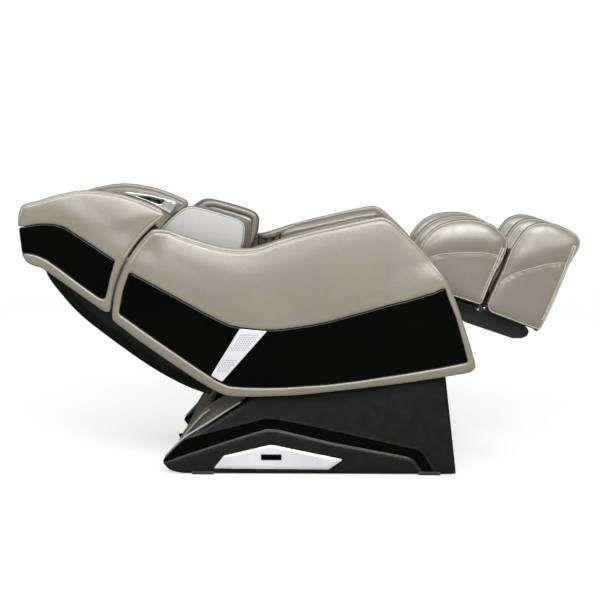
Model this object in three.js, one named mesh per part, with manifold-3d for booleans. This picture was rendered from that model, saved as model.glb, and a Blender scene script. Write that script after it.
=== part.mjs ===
// Zero-gravity massage chair, shown reclined with the legs up.
// Millimetres, +Z up, +X towards the feet, +Y the sitter's left, floor at z = 0.
import * as THREE from "three";
import { mergeVertices } from "three/addons/utils/BufferGeometryUtils.js";
import Module from "manifold-3d";

const wasm = await Module();
wasm.setup();

// ---------- driving dimensions ----------
const GAP = 0.35; // free gap between pieces that touch
const TILT = [262, 300]; // pivot of the whole body on the base
const RECLINE = [-212, 528]; // pivot of the backrest on the seat
const KNEE = [417, 606]; // pivot of the leg rest on the seat
const BACK_ANGLE = THREE.MathUtils.degToRad(33); // backrest above horizontal
const LEG_ANGLE = THREE.MathUtils.degToRad(18); // leg rest below horizontal
const ARM_RADIUS = 418; // rear edge of the arms, round the recline pivot
const WING_RADIUS = 425; // front edge of the head wings, round the same pivot
const SHELL_IN = 392; // inner face of arms and wings, from the middle
const SHELL_OUT = 425; // outer face of arms and wings
const INSERT_DEPTH = 8; // depth of the recess for the gloss panels
const COVER_IN = 355; // inner face of the base covers
const COVER_OUT = 380; // outer face of the base covers
const FRAME_IN = 322; // inner face of the base side frames
const FRAME_OUT = 346; // outer face of the base side frames
const SIDE_IN = 306; // inner face of the seat side plates
const SIDE_OUT = 318; // outer face of the seat side plates
const LEG_HALF = 290; // half width of the calf and foot units
const SHAFT = 14; // radius of the tilt shaft
const PIN = 12; // radius of the other cross shafts
const TILT_FOOT = [20, 60]; // lower pivot of the tilt actuator
const TILT_EYE = [-60, 330]; // upper pivot of the tilt actuator
const LEVER = [65.9, -73.2]; // leg lever pin, in leg-rest coordinates

// ---------- materials ----------
function paint(colour, roughness, metalness) {
  return new THREE.MeshStandardMaterial({ color: colour, roughness, metalness });
}

const LEATHER = paint(0x9e9684, 0.45, 0.1);
const SOFT_LEATHER = paint(0xb9b4ac, 0.5, 0.05);
const GLOSS_BLACK = paint(0x0a0a0a, 0.08, 0);
const MATTE_BLACK = paint(0x242422, 0.6, 0);
const SILVER = paint(0xd6d6da, 0.3, 0.6);
const STEEL = paint(0x55585c, 0.4, 0.9);
const BRIGHT_STEEL = paint(0xb4b8bc, 0.25, 1);
const RUBBER = paint(0x161616, 0.85, 0);
const PLASTIC = paint(0x3a3a3c, 0.5, 0);

// ---------- geometry helpers ----------
const group = new THREE.Group();

// Smooth stretch of an outline through a few points.
function curve(points, steps = 8) {
  const path = new THREE.SplineCurve(points.map(([a, b]) => new THREE.Vector2(a, b)));
  return path.getPoints(steps).map((p) => [p.x, p.y]);
}

// Points on a circle between two angles in degrees.
function arc([cx, cz], radius, from, to, steps = 8) {
  const points = [];
  for (let i = 0; i <= steps; i += 1) {
    const angle = THREE.MathUtils.degToRad(from + ((to - from) * i) / steps);
    points.push([cx + radius * Math.cos(angle), cz + radius * Math.sin(angle)]);
  }
  return points;
}

// Backrest coordinates: s up along the back, t out of its front.
function back([s, t]) {
  const c = Math.cos(BACK_ANGLE);
  const k = Math.sin(BACK_ANGLE);
  return [RECLINE[0] - s * c + t * k, RECLINE[1] + s * k + t * c];
}

// Leg-rest coordinates: p along the shins, q out of the front.
function leg([p, q]) {
  const c = Math.cos(LEG_ANGLE);
  const k = Math.sin(LEG_ANGLE);
  return [KNEE[0] + p * c + q * k, KNEE[1] - p * k + q * c];
}

// Straight-sided slab: a side outline (x, z) between two y stations.
function slab(points, yFrom, yTo) {
  const shape = new THREE.Shape(points.map(([x, z]) => new THREE.Vector2(x, z)));
  const geometry = new THREE.ExtrudeGeometry(shape, { depth: yTo - yFrom, bevelEnabled: false });
  geometry.rotateX(Math.PI / 2);
  geometry.translate(0, yTo, 0);
  return geometry;
}

// Rectangle in any of the side frames, as an outline.
function rectangle([a0, b0], [a1, b1]) {
  return [[a0, b0], [a1, b0], [a1, b1], [a0, b1]];
}

// Round bar across the chair.
function crossBar([x, z], radius, yFrom, yTo, steps = 18) {
  const geometry = new THREE.CylinderGeometry(radius, radius, yTo - yFrom, steps);
  geometry.translate(x, (yFrom + yTo) / 2, z);
  return geometry;
}

// Round bar in the side plane, from one distance along a line to another.
function rodAlong(start, end, radius, from, to, steps = 16) {
  const angle = Math.atan2(end[0] - start[0], end[1] - start[1]);
  const geometry = new THREE.CylinderGeometry(radius, radius, to - from, steps);
  geometry.rotateX(Math.PI / 2);
  geometry.translate(0, 0, (from + to) / 2);
  geometry.rotateY(angle);
  geometry.translate(start[0], 0, start[1]);
  return geometry;
}

function block([x0, y0, z0], [x1, y1, z1]) {
  const geometry = new THREE.BoxGeometry(x1 - x0, y1 - y0, z1 - z0);
  geometry.translate((x0 + x1) / 2, (y0 + y1) / 2, (z0 + z1) / 2);
  return geometry;
}

function manifold(geometry) {
  const bare = geometry.clone();
  bare.deleteAttribute("normal");
  bare.deleteAttribute("uv");
  const merged = mergeVertices(bare, 1e-4);
  return new wasm.Manifold(new wasm.Mesh({
    numProp: 3,
    vertProperties: new Float32Array(merged.attributes.position.array),
    triVerts: new Uint32Array(merged.index.array),
  }));
}

// Joins the first list of bodies and cuts the second list away.
function join(bodies, cuts = []) {
  let solid = manifold(bodies[0]);
  for (const body of bodies.slice(1)) {
    solid = solid.add(manifold(body));
  }
  for (const cut of cuts) {
    solid = solid.subtract(manifold(cut));
  }
  const mesh = solid.getMesh();
  const geometry = new THREE.BufferGeometry();
  const positions = new Float32Array(mesh.vertProperties);
  geometry.setAttribute("position", new THREE.BufferAttribute(positions, 3));
  geometry.setIndex(new THREE.BufferAttribute(new Uint32Array(mesh.triVerts), 1));
  geometry.computeVertexNormals();
  return geometry;
}

function add(name, geometry, material) {
  const mesh = new THREE.Mesh(geometry, material);
  mesh.name = name;
  group.add(mesh);
}

// The two sides of the chair: name, and the y stations of a band lo..hi.
const SIDES = [
  { name: "left", span: (lo, hi) => [lo, hi] },
  { name: "right", span: (lo, hi) => [-hi, -lo] },
];

function sideSlab(side, points, lo, hi) {
  return slab(points, ...side.span(lo, hi));
}

function sideBar(side, centre, radius, lo, hi, steps) {
  return crossBar(centre, radius, ...side.span(lo, hi), steps);
}

// Outline pushed outwards by a small distance along its corner bisectors.
function grow(points, distance) {
  const turn = THREE.ShapeUtils.area(points.map(([x, y]) => new THREE.Vector2(x, y))) > 0 ? 1 : -1;
  return points.map((here, i) => {
    const before = points[(i + points.length - 1) % points.length];
    const after = points[(i + 1) % points.length];
    const normals = [[before, here], [here, after]].map(([a, b]) => {
      const length = Math.hypot(b[0] - a[0], b[1] - a[1]);
      return [(turn * (b[1] - a[1])) / length, (-turn * (b[0] - a[0])) / length];
    });
    const sum = [normals[0][0] + normals[1][0], normals[0][1] + normals[1][1]];
    const scale = (2 * distance) / Math.max(sum[0] ** 2 + sum[1] ** 2, 0.5);
    return [here[0] + sum[0] * scale, here[1] + sum[1] * scale];
  });
}

// ---------- base ----------
const FOOT_TOP = 20;
const RAIL_BOTTOM = FOOT_TOP + GAP;
const WHEEL = [-402, 36];
const WHEEL_RADIUS = 28;
const AXLE = 6;

function baseSideFrame(side) {
  const outline = [
    [-410, RAIL_BOTTOM], [432, RAIL_BOTTOM], [432, 80], [350, 80],
    ...arc(TILT, 36, 20, 160, 8),
    [170, 80], [-410, 80],
  ];
  const plate = sideSlab(side, outline, FRAME_IN, FRAME_OUT);
  const stub = sideBar(side, WHEEL, AXLE, FRAME_IN - 26, FRAME_IN + 4);
  const bore = sideBar(side, TILT, SHAFT + GAP, FRAME_IN - 5, FRAME_OUT + 5);
  const window = sideSlab(
    side, [[225, 100], [300, 100], [280, 240], [244, 240]], FRAME_IN - 5, FRAME_OUT + 5,
  );
  add(`base_side_frame_${side.name}`, join([plate, stub], [bore, window]), STEEL);
}

function transportWheel(side) {
  const tyre = sideBar(side, WHEEL, WHEEL_RADIUS, FRAME_IN - 24, FRAME_IN - 4, 28);
  const bore = sideBar(side, WHEEL, AXLE + GAP, FRAME_IN - 30, FRAME_IN);
  add(`transport_wheel_${side.name}`, join([tyre], [bore]), RUBBER);
}

function baseCrossMembers() {
  const half = FRAME_IN - GAP;
  add("base_crossbar_front", block([380, -half, 30], [430, half, 70]), STEEL);
  add("base_crossbar_rear", crossBar(TILT_FOOT, PIN, -half, half), STEEL);
  add("foot_bar_front", block([400, -350, 0], [474, 350, FOOT_TOP]), MATTE_BLACK);
  add("foot_bar_rear", block([-368, -350, 0], [-300, 350, FOOT_TOP]), MATTE_BLACK);
}

// Side outline shared by the two base covers.
const COVER_OUTLINE = [
  ...curve([[-392, 2], [-441, 11], [-463, 30], [-471, 47], [-440, 83]], 8),
  ...curve([[-407, 114], [-316, 163], [-237, 213], [-153, 269]], 5),
  [-60, 330],
  [487, 346],
  [527, 4],
  [437, 2],
];

// Gloss channel that climbs from the rear, peaks and runs down to the front.
const CHANNEL_OUTLINE = [
  ...curve([
    [-480, 50], [-400, 117], [-199, 170], [-114, 191],
    [-76, 189], [41, 165], [372, 91], [411, 74],
  ], 14),
  [457, -4],
  [433, -4],
  ...curve([
    [385, 47], [372, 60], [106, 109], [-76, 152],
    [-115, 156], [-199, 131], [-349, 81], [-480, 40],
  ], 14),
];

const PLATE_OUTLINE = [[-297, 21], [93, 19], [150, 55], [-95, 107], [-108, 107], [-264, 68]];

function baseCover(side) {
  const skin = sideSlab(side, COVER_OUTLINE, COVER_IN, COVER_OUT);
  const bosses = [[-340, 50], [250, 50], [400, 50]].map((spot) => (
    sideBar(side, spot, 14, FRAME_OUT + GAP, COVER_IN + 2)
  ));
  const channel = sideSlab(side, CHANNEL_OUTLINE, COVER_OUT - 8, COVER_OUT + 5);
  const recess = sideSlab(side, grow(PLATE_OUTLINE, GAP), COVER_OUT - 8, COVER_OUT + 5);
  add(`base_cover_${side.name}`, join([skin, ...bosses], [channel, recess]), MATTE_BLACK);
}

function basePlate(side) {
  const plate = sideSlab(side, PLATE_OUTLINE, COVER_OUT - 8 + GAP, COVER_OUT + 5);
  add(`base_plate_${side.name}`, plate, SILVER);
}

const INLET = { y: [-235, -125], x: [-434, -388], z: [62, 100] };
const SWITCH = [-424, 81];

function rearSkirt() {
  const outer = curve([[-447, 36], [-422, 100], [-397, 144], [-345, 203], [-318, 224]], 6);
  const inner = curve([[-312, 219], [-340, 197], [-391, 141], [-415, 97], [-440, 34]], 6);
  const half = COVER_IN - GAP;
  const hole = block(
    [INLET.x[0] - 20, INLET.y[0] - GAP, INLET.z[0] - GAP],
    [INLET.x[1] + 20, INLET.y[1] + GAP, INLET.z[1] + GAP],
  );
  add("rear_skirt", join([slab([...outer, ...inner], -half, half)], [hole]), LEATHER);
}

function powerInlet() {
  const body = block([INLET.x[0], INLET.y[0], INLET.z[0]], [INLET.x[1], INLET.y[1], INLET.z[1]]);
  const socket = block([INLET.x[0] - 5, INLET.y[0] + 12, 71], [INLET.x[1] - 14, INLET.y[0] + 42, 91]);
  const pocket = block([INLET.x[0] - 5, INLET.y[1] - 40, 64], [INLET.x[1] - 12, INLET.y[1] - 12, 98]);
  add("power_inlet", join([body], [socket, pocket]), PLASTIC);
}

function powerSwitch() {
  const [x, z] = SWITCH;
  const lean = THREE.MathUtils.degToRad(-7);
  const outline = [[-13, -11], [-8, 0], [-13, 11], [9, 11], [9, -11]].map(([a, b]) => [
    x + a * Math.cos(lean) + b * Math.sin(lean),
    z - a * Math.sin(lean) + b * Math.cos(lean),
  ]);
  add("power_switch", slab(outline, INLET.y[1] - 39, INLET.y[1] - 13), GLOSS_BLACK);
}

function baseEquipment() {
  const half = COVER_IN - GAP;
  add("front_panel", block([440, -half, 24], [446, half, 300]), MATTE_BLACK);
  add("control_box", block([-366, -60, FOOT_TOP + GAP], [-220, 130, 92]), PLASTIC);
  add("air_compressor", block([250, -110, 34], [380 - GAP, 110, 128]), PLASTIC);
}

// ---------- actuators ----------
// Tube open at the top, with an eye across its foot.
function actuatorBody(name, start, end, eye, tube, bore, reach) {
  const shell = rodAlong(start, end, tube, eye * 0.5, reach);
  const ring = crossBar(start, eye, -18, 18);
  const rodHole = rodAlong(start, end, bore.rod + GAP, eye + 14, reach + 10);
  const pinHole = crossBar(start, bore.pin + GAP, -30, 30);
  add(name, join([shell, ring], [rodHole, pinHole]), MATTE_BLACK);
}

// Rod with an eye at its far end; the eye is bored wide for its pin.
function actuatorRod(name, start, end, radius, from, eye, hole) {
  const length = Math.hypot(end[0] - start[0], end[1] - start[1]);
  const rod = rodAlong(start, end, radius, from, length - hole);
  const ring = crossBar(end, eye, -14, 14);
  add(name, join([rod, ring], [crossBar(end, hole, -30, 30)]), BRIGHT_STEEL);
}

function actuators() {
  actuatorBody("tilt_actuator_body", TILT_FOOT, TILT_EYE, 28, 23, { rod: 9, pin: PIN }, 172);
  actuatorRod("tilt_actuator_rod", TILT_FOOT, TILT_EYE, 9, 44, 26, 16);
  actuatorBody("leg_actuator_body", TILT, leg(LEVER), 28, 21, { rod: 8, pin: SHAFT }, 176);
  actuatorRod("leg_actuator_rod", TILT, leg(LEVER), 8, 96, 27, 18);
}

// ---------- seat carriage ----------
function seatSide(side) {
  const outline = [
    [-150, 320], [150, 310], [225, 262], [300, 262], [400, 380], [448, 570], [440, 640],
    [395, 640], [385, 560], [330, 430 - GAP], [-130, 430 - GAP], [-175, 575], [-250, 575],
    [-275, 500], [-260, 470],
  ];
  const plate = sideSlab(side, outline, SIDE_IN, SIDE_OUT);
  const bores = [[TILT, SHAFT], [RECLINE, PIN], [KNEE, PIN]].map(([centre, radius]) => (
    sideBar(side, centre, radius + GAP, SIDE_IN - 5, SIDE_OUT + 5)
  ));
  add(`seat_side_${side.name}`, join([plate], bores), STEEL);
}

function seatShafts() {
  add("tilt_shaft", crossBar(TILT, SHAFT, -350, 350), BRIGHT_STEEL);
  add("recline_shaft", crossBar(RECLINE, PIN, -FRAME_IN, FRAME_IN), BRIGHT_STEEL);
  const half = SIDE_IN - GAP;
  add("seat_crossbar_rear", crossBar(TILT_EYE, PIN, -half, half), STEEL);
}

const CUSHION_REAR = [-128, 444];
const CUSHION_FRONT = [345, 592];

function seatPan() {
  const drop = 10;
  const sheet = [
    [CUSHION_REAR[0], CUSHION_REAR[1] - 0.5],
    [CUSHION_FRONT[0], CUSHION_FRONT[1] - 0.5],
    [CUSHION_FRONT[0], CUSHION_FRONT[1] - drop],
    [CUSHION_REAR[0], CUSHION_REAR[1] - drop],
  ];
  const flange = [[-90, 452], [-60, 345], [180, 330], [320, 400], [330, 584]];
  const half = LEG_HALF;
  const bodies = [
    slab(sheet, -half, half),
    slab(flange, -half, 6 - half),
    slab(flange, half - 6, half),
  ];
  for (const side of SIDES) {
    for (const spot of [[0, 380], [230, 385]]) {
      bodies.push(sideBar(side, spot, 14, half - 4, SIDE_IN - GAP));
    }
  }
  add("seat_pan", join(bodies), STEEL);
}

function seatCushion() {
  const outline = [
    CUSHION_REAR,
    CUSHION_FRONT,
    ...curve([[345, 648], [352, 660], [386, 668]], 3),
    ...curve([[386, 686], [368, 692], [240, 656], [0, 584], [-120, 548], [-140, 530]], 9),
  ];
  add("seat_cushion", slab(outline, -285, 285), LEATHER);
}

// ---------- arms ----------
const ARM_OUTLINE = [
  ...arc(RECLINE, ARM_RADIUS, 132, 179, 9),
  ...curve([[-559, 479], [-464, 411], [-336, 324], [-278, 292], [-239, 278], [-156, 276]], 8),
  ...curve([[-9, 282], [227, 309], [399, 332], [566, 360]], 5),
  ...curve([[585, 375], [580, 400], [545, 513], [501, 635], [468, 692]], 6),
  ...curve([[395, 779], [318, 855], [282, 877], [255, 879], [156, 858], [30, 830]], 9),
  ...curve([[-76, 801], [-129, 781], [-169, 774], [-219, 774], [-269, 781], [-325, 796], [-444, 836]], 9),
];

const ARM_INSERT_OUTLINE = [
  [-568, 695],
  ...curve([[-590, 635], [-605, 557]], 2),
  ...curve([[-494, 477], [-303, 345], [-264, 324], [-234, 312], [-150, 308], [-56, 309]], 7),
  ...curve([[86, 319], [226, 337], [406, 367], [546, 393], [555, 402]], 5),
  ...curve([[516, 542], [477, 636], [468, 636], [357, 602], [272, 581], [132, 540], [38, 519]], 8),
  ...curve([[-55, 505], [-112, 502], [-205, 511], [-266, 530], [-429, 619]], 6),
];

const GRILLE_OUTLINE = [[-203, 507], [-112, 499], [-263, 328], [-300, 349]];

function arm(side) {
  const panel = sideSlab(side, ARM_OUTLINE, SHELL_IN, SHELL_OUT);
  const recess = sideSlab(side, grow(ARM_INSERT_OUTLINE, GAP), SHELL_OUT - INSERT_DEPTH, SHELL_OUT + 5);
  add(`arm_shell_${side.name}`, join([panel], [recess]), LEATHER);

  const insert = sideSlab(side, ARM_INSERT_OUTLINE, SHELL_OUT - INSERT_DEPTH + GAP, SHELL_OUT);
  const slot = sideSlab(side, grow(GRILLE_OUTLINE, GAP), SHELL_OUT - 3, SHELL_OUT + 5);
  add(`arm_insert_${side.name}`, join([insert], [slot]), GLOSS_BLACK);

  const grille = sideSlab(side, GRILLE_OUTLINE, SHELL_OUT - 3 + GAP, SHELL_OUT + 4);
  add(`speaker_grille_${side.name}`, grille, SILVER);
}

// Padded arm with a channel for the forearm along its inner side.
function armPad(side) {
  const outline = [
    [-90, 430], [318, 430], [372, 560], [383, 655],
    ...curve([
      [452, 655], [455, 690], [385, 779], [312, 846],
      [278, 866], [250, 869], [30, 822], [-60, 797],
    ], 12),
    [-90, 780],
  ];
  const channel = [[-100, 610], [240, 690], [300, 740], [290, 790], [240, 800], [-100, 716]];
  const body = sideSlab(side, outline, 298, SHELL_IN - GAP);
  add(`arm_pad_${side.name}`, join([body], [sideSlab(side, channel, 290, 358)]), LEATHER);
}

// ---------- backrest ----------
const SHELL_UNDERSIDE = [
  ...curve([[-60, -285], [30, -296], [240, -294], [400, -289], [484, -280]], 6),
  ...curve([[555, -264], [613, -247], [658, -223], [665, -205]], 4),
];
const SHELL_TOP = -50 - GAP;

function backShell() {
  const outer = [
    [-60, -61], ...SHELL_UNDERSIDE, [665, -132], [556, -132], [556, SHELL_TOP], [20, SHELL_TOP],
  ].map(back);
  const inner = [
    [-52, -40], [-52, -277], [30, -287], [480, -272], [650, -220], [657, -200], [657, -40],
  ].map(back);
  const ear = [...arc([0, 0], 18, 0, 180, 8), [-45, -70], [18, -60]].map(back);
  const bore = crossBar(RECLINE, PIN + GAP, -310, 310);
  add("back_shell", join(
    [slab(outer, -300, 300), slab(ear, -300, -292), slab(ear, 292, 300)],
    [slab(inner, -292, 292), bore],
  ), MATTE_BLACK);
}

// C-section guide for the massage carriage, hung on the recline shaft.
function massageTrack(side) {
  const outline = [
    ...arc([0, 0], 18, 0, 180, 8), [-18, -60], [40, -130], [548, -130], [548, -90], [50, -90], [18, -60],
  ].map(back);
  const groove = rectangle([44, -126], [556, -94]).map(back);
  const body = sideSlab(side, outline, 160, 175);
  const cuts = [
    sideSlab(side, groove, 150, 172),
    sideBar(side, RECLINE, PIN + GAP, 150, 180),
  ];
  add(`massage_track_${side.name}`, join([body], cuts), BRIGHT_STEEL);
}

function backPads() {
  const pad = [
    [24, -50], [548, -50],
    ...curve([[556, -36], [552, -6], [536, 7]], 4),
    [44, 8], [26, -4],
  ].map(back);
  add("back_pad", slab(pad, -299, 299), SOFT_LEATHER);

  const pillow = [
    [562, -131.5], [752, -131.5],
    ...curve([[755, -100], [748, -66], [720, -48], [640, -44], [580, -50], [562, -70]], 8),
  ].map(back);
  add("head_pillow", slab(pillow, -200, 200), SOFT_LEATHER);

  const hood = [
    [668, -208], [718, -197],
    ...curve([[760, -155], [782, -122], [803, -74], [796, -42], [770, -26]], 5),
    [759, -40], [759, -132], [668, -132],
  ].map(back);
  add("head_hood", slab(hood, GAP - SHELL_IN, SHELL_IN - GAP), MATTE_BLACK);
}

function backBolster(side) {
  const outline = [
    [130, -170], [200, -205], [620, -205], [652, -190],
    ...curve([[655, -60], [640, -10], [600, 8], [170, 8], [135, -10]], 8),
  ].map(back);
  const body = sideSlab(side, outline, 302, 388);
  const pad = sideSlab(side, rectangle([480, -120], [600, -40]).map(back), 380, SHELL_IN - GAP);
  add(`back_bolster_${side.name}`, join([body, pad]), LEATHER);
}

function shoulderPod(side) {
  const outline = [
    [100, 8 + GAP + 4], [400, 8 + GAP + 4],
    ...curve([[400, 60], [385, 126], [372, 180], [358, 217], [334, 240], [246, 269], [177, 288]], 9),
    ...curve([[152, 282], [147, 274], [130, 240], [121, 217], [110, 100], [100, 60]], 7),
  ].map(back);
  add(`shoulder_pod_${side.name}`, sideSlab(side, outline, 240, 350), SOFT_LEATHER);
}

const WING_OUTLINE = [
  ...curve([[-871, 931], [-912, 922], [-929, 909], [-938, 850], [-926, 752], [-903, 721], [-863, 710]], 9),
  [-652, 560],
  ...arc(RECLINE, WING_RADIUS, 175.5, 124, 10),
  ...curve([[-460, 903], [-511, 925], [-574, 948], [-659, 964], [-727, 966], [-812, 950]], 7),
];

const WING_INSERT_OUTLINE = [
  [-934, 842],
  ...curve([[-872, 854], [-830, 855], [-796, 848], [-766, 834], [-617, 734]], 6),
  ...curve([[-634, 680], [-646, 625], [-653, 606]], 3),
  ...curve([[-668, 608], [-748, 666], [-820, 721], [-861, 746], [-900, 757], [-925, 758]], 6),
];

function headWing(side) {
  const panel = sideSlab(side, WING_OUTLINE, SHELL_IN, SHELL_OUT);
  const recess = sideSlab(side, grow(WING_INSERT_OUTLINE, GAP), SHELL_OUT - INSERT_DEPTH, SHELL_OUT + 5);
  add(`head_wing_${side.name}`, join([panel], [recess]), LEATHER);

  const insert = sideSlab(side, WING_INSERT_OUTLINE, SHELL_OUT - INSERT_DEPTH + GAP, SHELL_OUT);
  add(`wing_insert_${side.name}`, insert, GLOSS_BLACK);
}

// ---------- massage mechanism ----------
const KNEAD = [150, -100]; // axis of the kneading shaft, in backrest coordinates
const ECCENTRIC = 12;

function massageMechanism() {
  const [s, t] = KNEAD;
  const bodies = [];
  for (const side of SIDES) {
    const plate = rectangle([s - 60, t - 52], [s + 60, t + 36]).map(back);
    bodies.push(sideSlab(side, plate, 128, 140));
    for (const offset of [-52, 52]) {
      bodies.push(sideBar(side, back([s + offset, t - 10]), 15, 138, 171.5));
    }
  }
  for (const offset of [-54, 54]) {
    const bar = rectangle([s + offset - 6, t - 50], [s + offset + 6, t - 30]).map(back);
    bodies.push(slab(bar, -130, 130));
  }
  const bore = crossBar(back(KNEAD), 8 + GAP, -160, 160);
  add("massage_carriage", join(bodies, [bore]), PLASTIC);

  const hub = back([s, t + ECCENTRIC]);
  add("knead_unit", join([
    crossBar(back(KNEAD), 8, -140, 140),
    crossBar(hub, 21, -95, -60),
    crossBar(hub, 21, 60, 95),
  ]), BRIGHT_STEEL);

  for (const side of SIDES) {
    const ring = sideBar(side, hub, 27, 64, 91, 28);
    const bore2 = sideBar(side, hub, 21 + GAP, 50, 110, 28);
    add(`massage_roller_${side.name}`, join([ring], [bore2]), RUBBER);
  }
}

// ---------- leg rest ----------
// Box-section pad with two leg wells between its outer walls and a middle divider.
const WELL_IN = 34;
const WELL_OUT = 238;

function wells(outline) {
  return SIDES.map((side) => sideSlab(side, outline.map(leg), WELL_IN, WELL_OUT));
}

function calfPad() {
  const outline = [
    [-38, 26], [-40, 75],
    ...curve([[-58, 155], [-40, 206], [-16, 239], [20, 264], [60, 281], [102, 291], [147, 292]], 9),
    ...curve([[183, 274], [204, 250], [202, 200], [197, 148], [192, 35]], 5),
    [192, 26],
  ].map(leg);
  const well = [[-80, 104], [60, 92], [230, 104], [260, 330], [-80, 330]];
  const knee = crossBar(KNEE, 34, -LEG_HALF - 5, LEG_HALF + 5);
  add("calf_pad", join([slab(outline, -LEG_HALF, LEG_HALF)], [...wells(well), knee]), LEATHER);
}

const SOLE_ROLLER = [388, 150];

function footPad() {
  const outline = [
    [221, 17],
    ...curve([[207, 35], [213, 98], [222, 176], [230, 239], [246, 294], [273, 333], [306, 355]], 9),
    ...curve([[348, 362], [389, 359], [423, 347], [436, 329]], 4),
    [402, 17],
  ].map(leg);
  const well = [[190, 84], [362, 84], [384, 300], [372, 380], [190, 380]];
  const axle = leg(SOLE_ROLLER);
  const pocket = crossBar(axle, 28, -232, 232);
  const axleHole = crossBar(axle, 6 + GAP, -250, 250);
  add("foot_pad", join([slab(outline, -LEG_HALF, LEG_HALF)], [...wells(well), pocket, axleHole]), LEATHER);

  add("foot_roller", join([
    crossBar(axle, 23, -228, 228, 28),
    crossBar(axle, 6, -246, 246),
  ]), RUBBER);
}

function legFrame() {
  const rail = [
    [-22, -14], [-14, 20], [20, 22], [60, 0], [380, 0],
    ...curve([[394, -10], [396, -22], [388, -40], [350, -54]], 4),
    [177, -52], [110, -36], [20, -24],
  ].map(leg);
  const lever = [[46, 0], [86, 0], [90, -76], [78, -92], [54, -92], [42, -76]].map(leg);
  const bodies = [
    crossBar(KNEE, PIN, -FRAME_IN, FRAME_IN),
    crossBar(leg([66, -14]), 10, -195, 195),
    crossBar(leg([340, -27]), 10, -195, 195),
    crossBar(leg(LEVER), 8, -30, 30),
  ];
  for (const side of SIDES) {
    bodies.push(sideSlab(side, rail, 190, 212));
    bodies.push(sideSlab(side, lever, 19, 29));
    for (const p of [60, 160]) {
      bodies.push(sideSlab(side, rectangle([p, -30], [p + 22, 26 - GAP]).map(leg), 170, 191));
    }
  }
  add("leg_frame", join(bodies), MATTE_BLACK);
}

function footFrame() {
  const half = LEG_HALF - 20;
  const slide = rectangle([100, 0.4], [412, 12]).map(leg);
  const sole = [[404, 0.4], [413, 0.4], [443.5, 328], [438, 333], [405, 17]].map(leg);
  const bodies = [slab(sole, -half, half)];
  for (const side of SIDES) {
    bodies.push(sideSlab(side, slide, 193, 209));
  }
  add("foot_frame", join(bodies), MATTE_BLACK);
}

// ---------- assembly ----------
for (const side of SIDES) {
  baseSideFrame(side);
  transportWheel(side);
  baseCover(side);
  basePlate(side);
  seatSide(side);
  arm(side);
  armPad(side);
  massageTrack(side);
  backBolster(side);
  shoulderPod(side);
  headWing(side);
}
baseCrossMembers();
rearSkirt();
powerInlet();
powerSwitch();
baseEquipment();
actuators();
seatShafts();
seatPan();
seatCushion();
backShell();
backPads();
massageMechanism();
calfPad();
footPad();
legFrame();
footFrame();

export default group;
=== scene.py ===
"""Visual model of a reclined zero-gravity massage chair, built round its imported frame.

Metres, +X towards the feet, +Y the sitter's left, +Z up, floor at z = 0.
"""
import math

import bmesh
import bpy
import numpy as np
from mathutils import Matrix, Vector, bvhtree, geometry


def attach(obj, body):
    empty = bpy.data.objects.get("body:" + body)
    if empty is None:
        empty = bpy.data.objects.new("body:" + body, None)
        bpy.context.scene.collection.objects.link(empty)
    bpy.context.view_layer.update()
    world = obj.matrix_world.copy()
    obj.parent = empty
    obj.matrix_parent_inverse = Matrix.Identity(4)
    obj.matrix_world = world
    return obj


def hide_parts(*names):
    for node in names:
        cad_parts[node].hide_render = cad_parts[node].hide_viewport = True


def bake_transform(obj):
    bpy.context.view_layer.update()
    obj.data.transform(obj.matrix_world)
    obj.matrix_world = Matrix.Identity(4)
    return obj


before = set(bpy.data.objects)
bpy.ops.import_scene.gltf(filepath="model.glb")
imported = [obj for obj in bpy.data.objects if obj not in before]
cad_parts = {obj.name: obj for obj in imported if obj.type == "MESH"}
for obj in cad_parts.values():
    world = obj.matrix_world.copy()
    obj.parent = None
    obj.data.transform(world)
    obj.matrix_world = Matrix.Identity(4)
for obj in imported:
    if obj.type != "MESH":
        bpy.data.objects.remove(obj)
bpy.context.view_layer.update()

# ---------- driving dimensions ----------
RECLINE = (-0.212, 0.528)  # pivot of the backrest
KNEE = (0.417, 0.606)  # pivot of the leg rest
BACK_ANGLE = math.radians(33)
LEG_ANGLE = math.radians(18)
SHELL_IN = 0.392  # inner face of arms and wings, from the middle
PANEL_FACE = 0.431  # crowned outer face of arms and wings
INSERT_FACE = 0.4300  # face of the gloss inserts
COVER_IN, COVER_FACE = 0.355, 0.380  # base covers
LEG_HALF = 0.290  # half width of the leg units
WALL = 0.052  # thickness of the leg units' outer walls
DIVIDER = 0.034  # half thickness of their middle wall
ARM_RIM, WING_RIM = 0.014, 0.008  # widths of the stitched rims
SIDES = {"left": 1, "right": -1}
OUTSIDE = 0.6  # a y station beyond the chair's sides
IN_WELL = 0.14  # a y station in the open part of a leg well
HEX_ROWS = 0.866  # spacing of rows in a triangular grid
CAMERA_PLACE = (0.0768, -5.0, 1.1162)
CAMERA_TURN = (90 - 6.397, 0, 0.991)  # degrees
CAMERA_LENS = 83.2  # millimetres, on a 36 mm sensor
TOES = np.array([math.cos(LEG_ANGLE), -math.sin(LEG_ANGLE)])  # direction along the shins
FRONT = np.array([math.sin(LEG_ANGLE), math.cos(LEG_ANGLE)])  # direction out of the leg rest


def back_point(s, t):
    """Backrest coordinates: s up along the back, t out of its front."""
    c, k = math.cos(BACK_ANGLE), math.sin(BACK_ANGLE)
    return (RECLINE[0] - s * c + t * k, RECLINE[1] + s * k + t * c)


def leg_point(p, q):
    """Leg-rest coordinates: p along the shins, q out of the front."""
    c, k = math.cos(LEG_ANGLE), math.sin(LEG_ANGLE)
    return (KNEE[0] + p * c + q * k, KNEE[1] - p * k + q * c)


# ---------- materials ----------
def linear(red, green, blue):
    """A screen colour, 0 to 255, as linear light."""
    parts = []
    for value in (red, green, blue):
        v = value / 255
        parts.append(v / 12.92 if v <= 0.04045 else ((v + 0.055) / 1.055) ** 2.4)
    return (*parts, 1.0)


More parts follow.
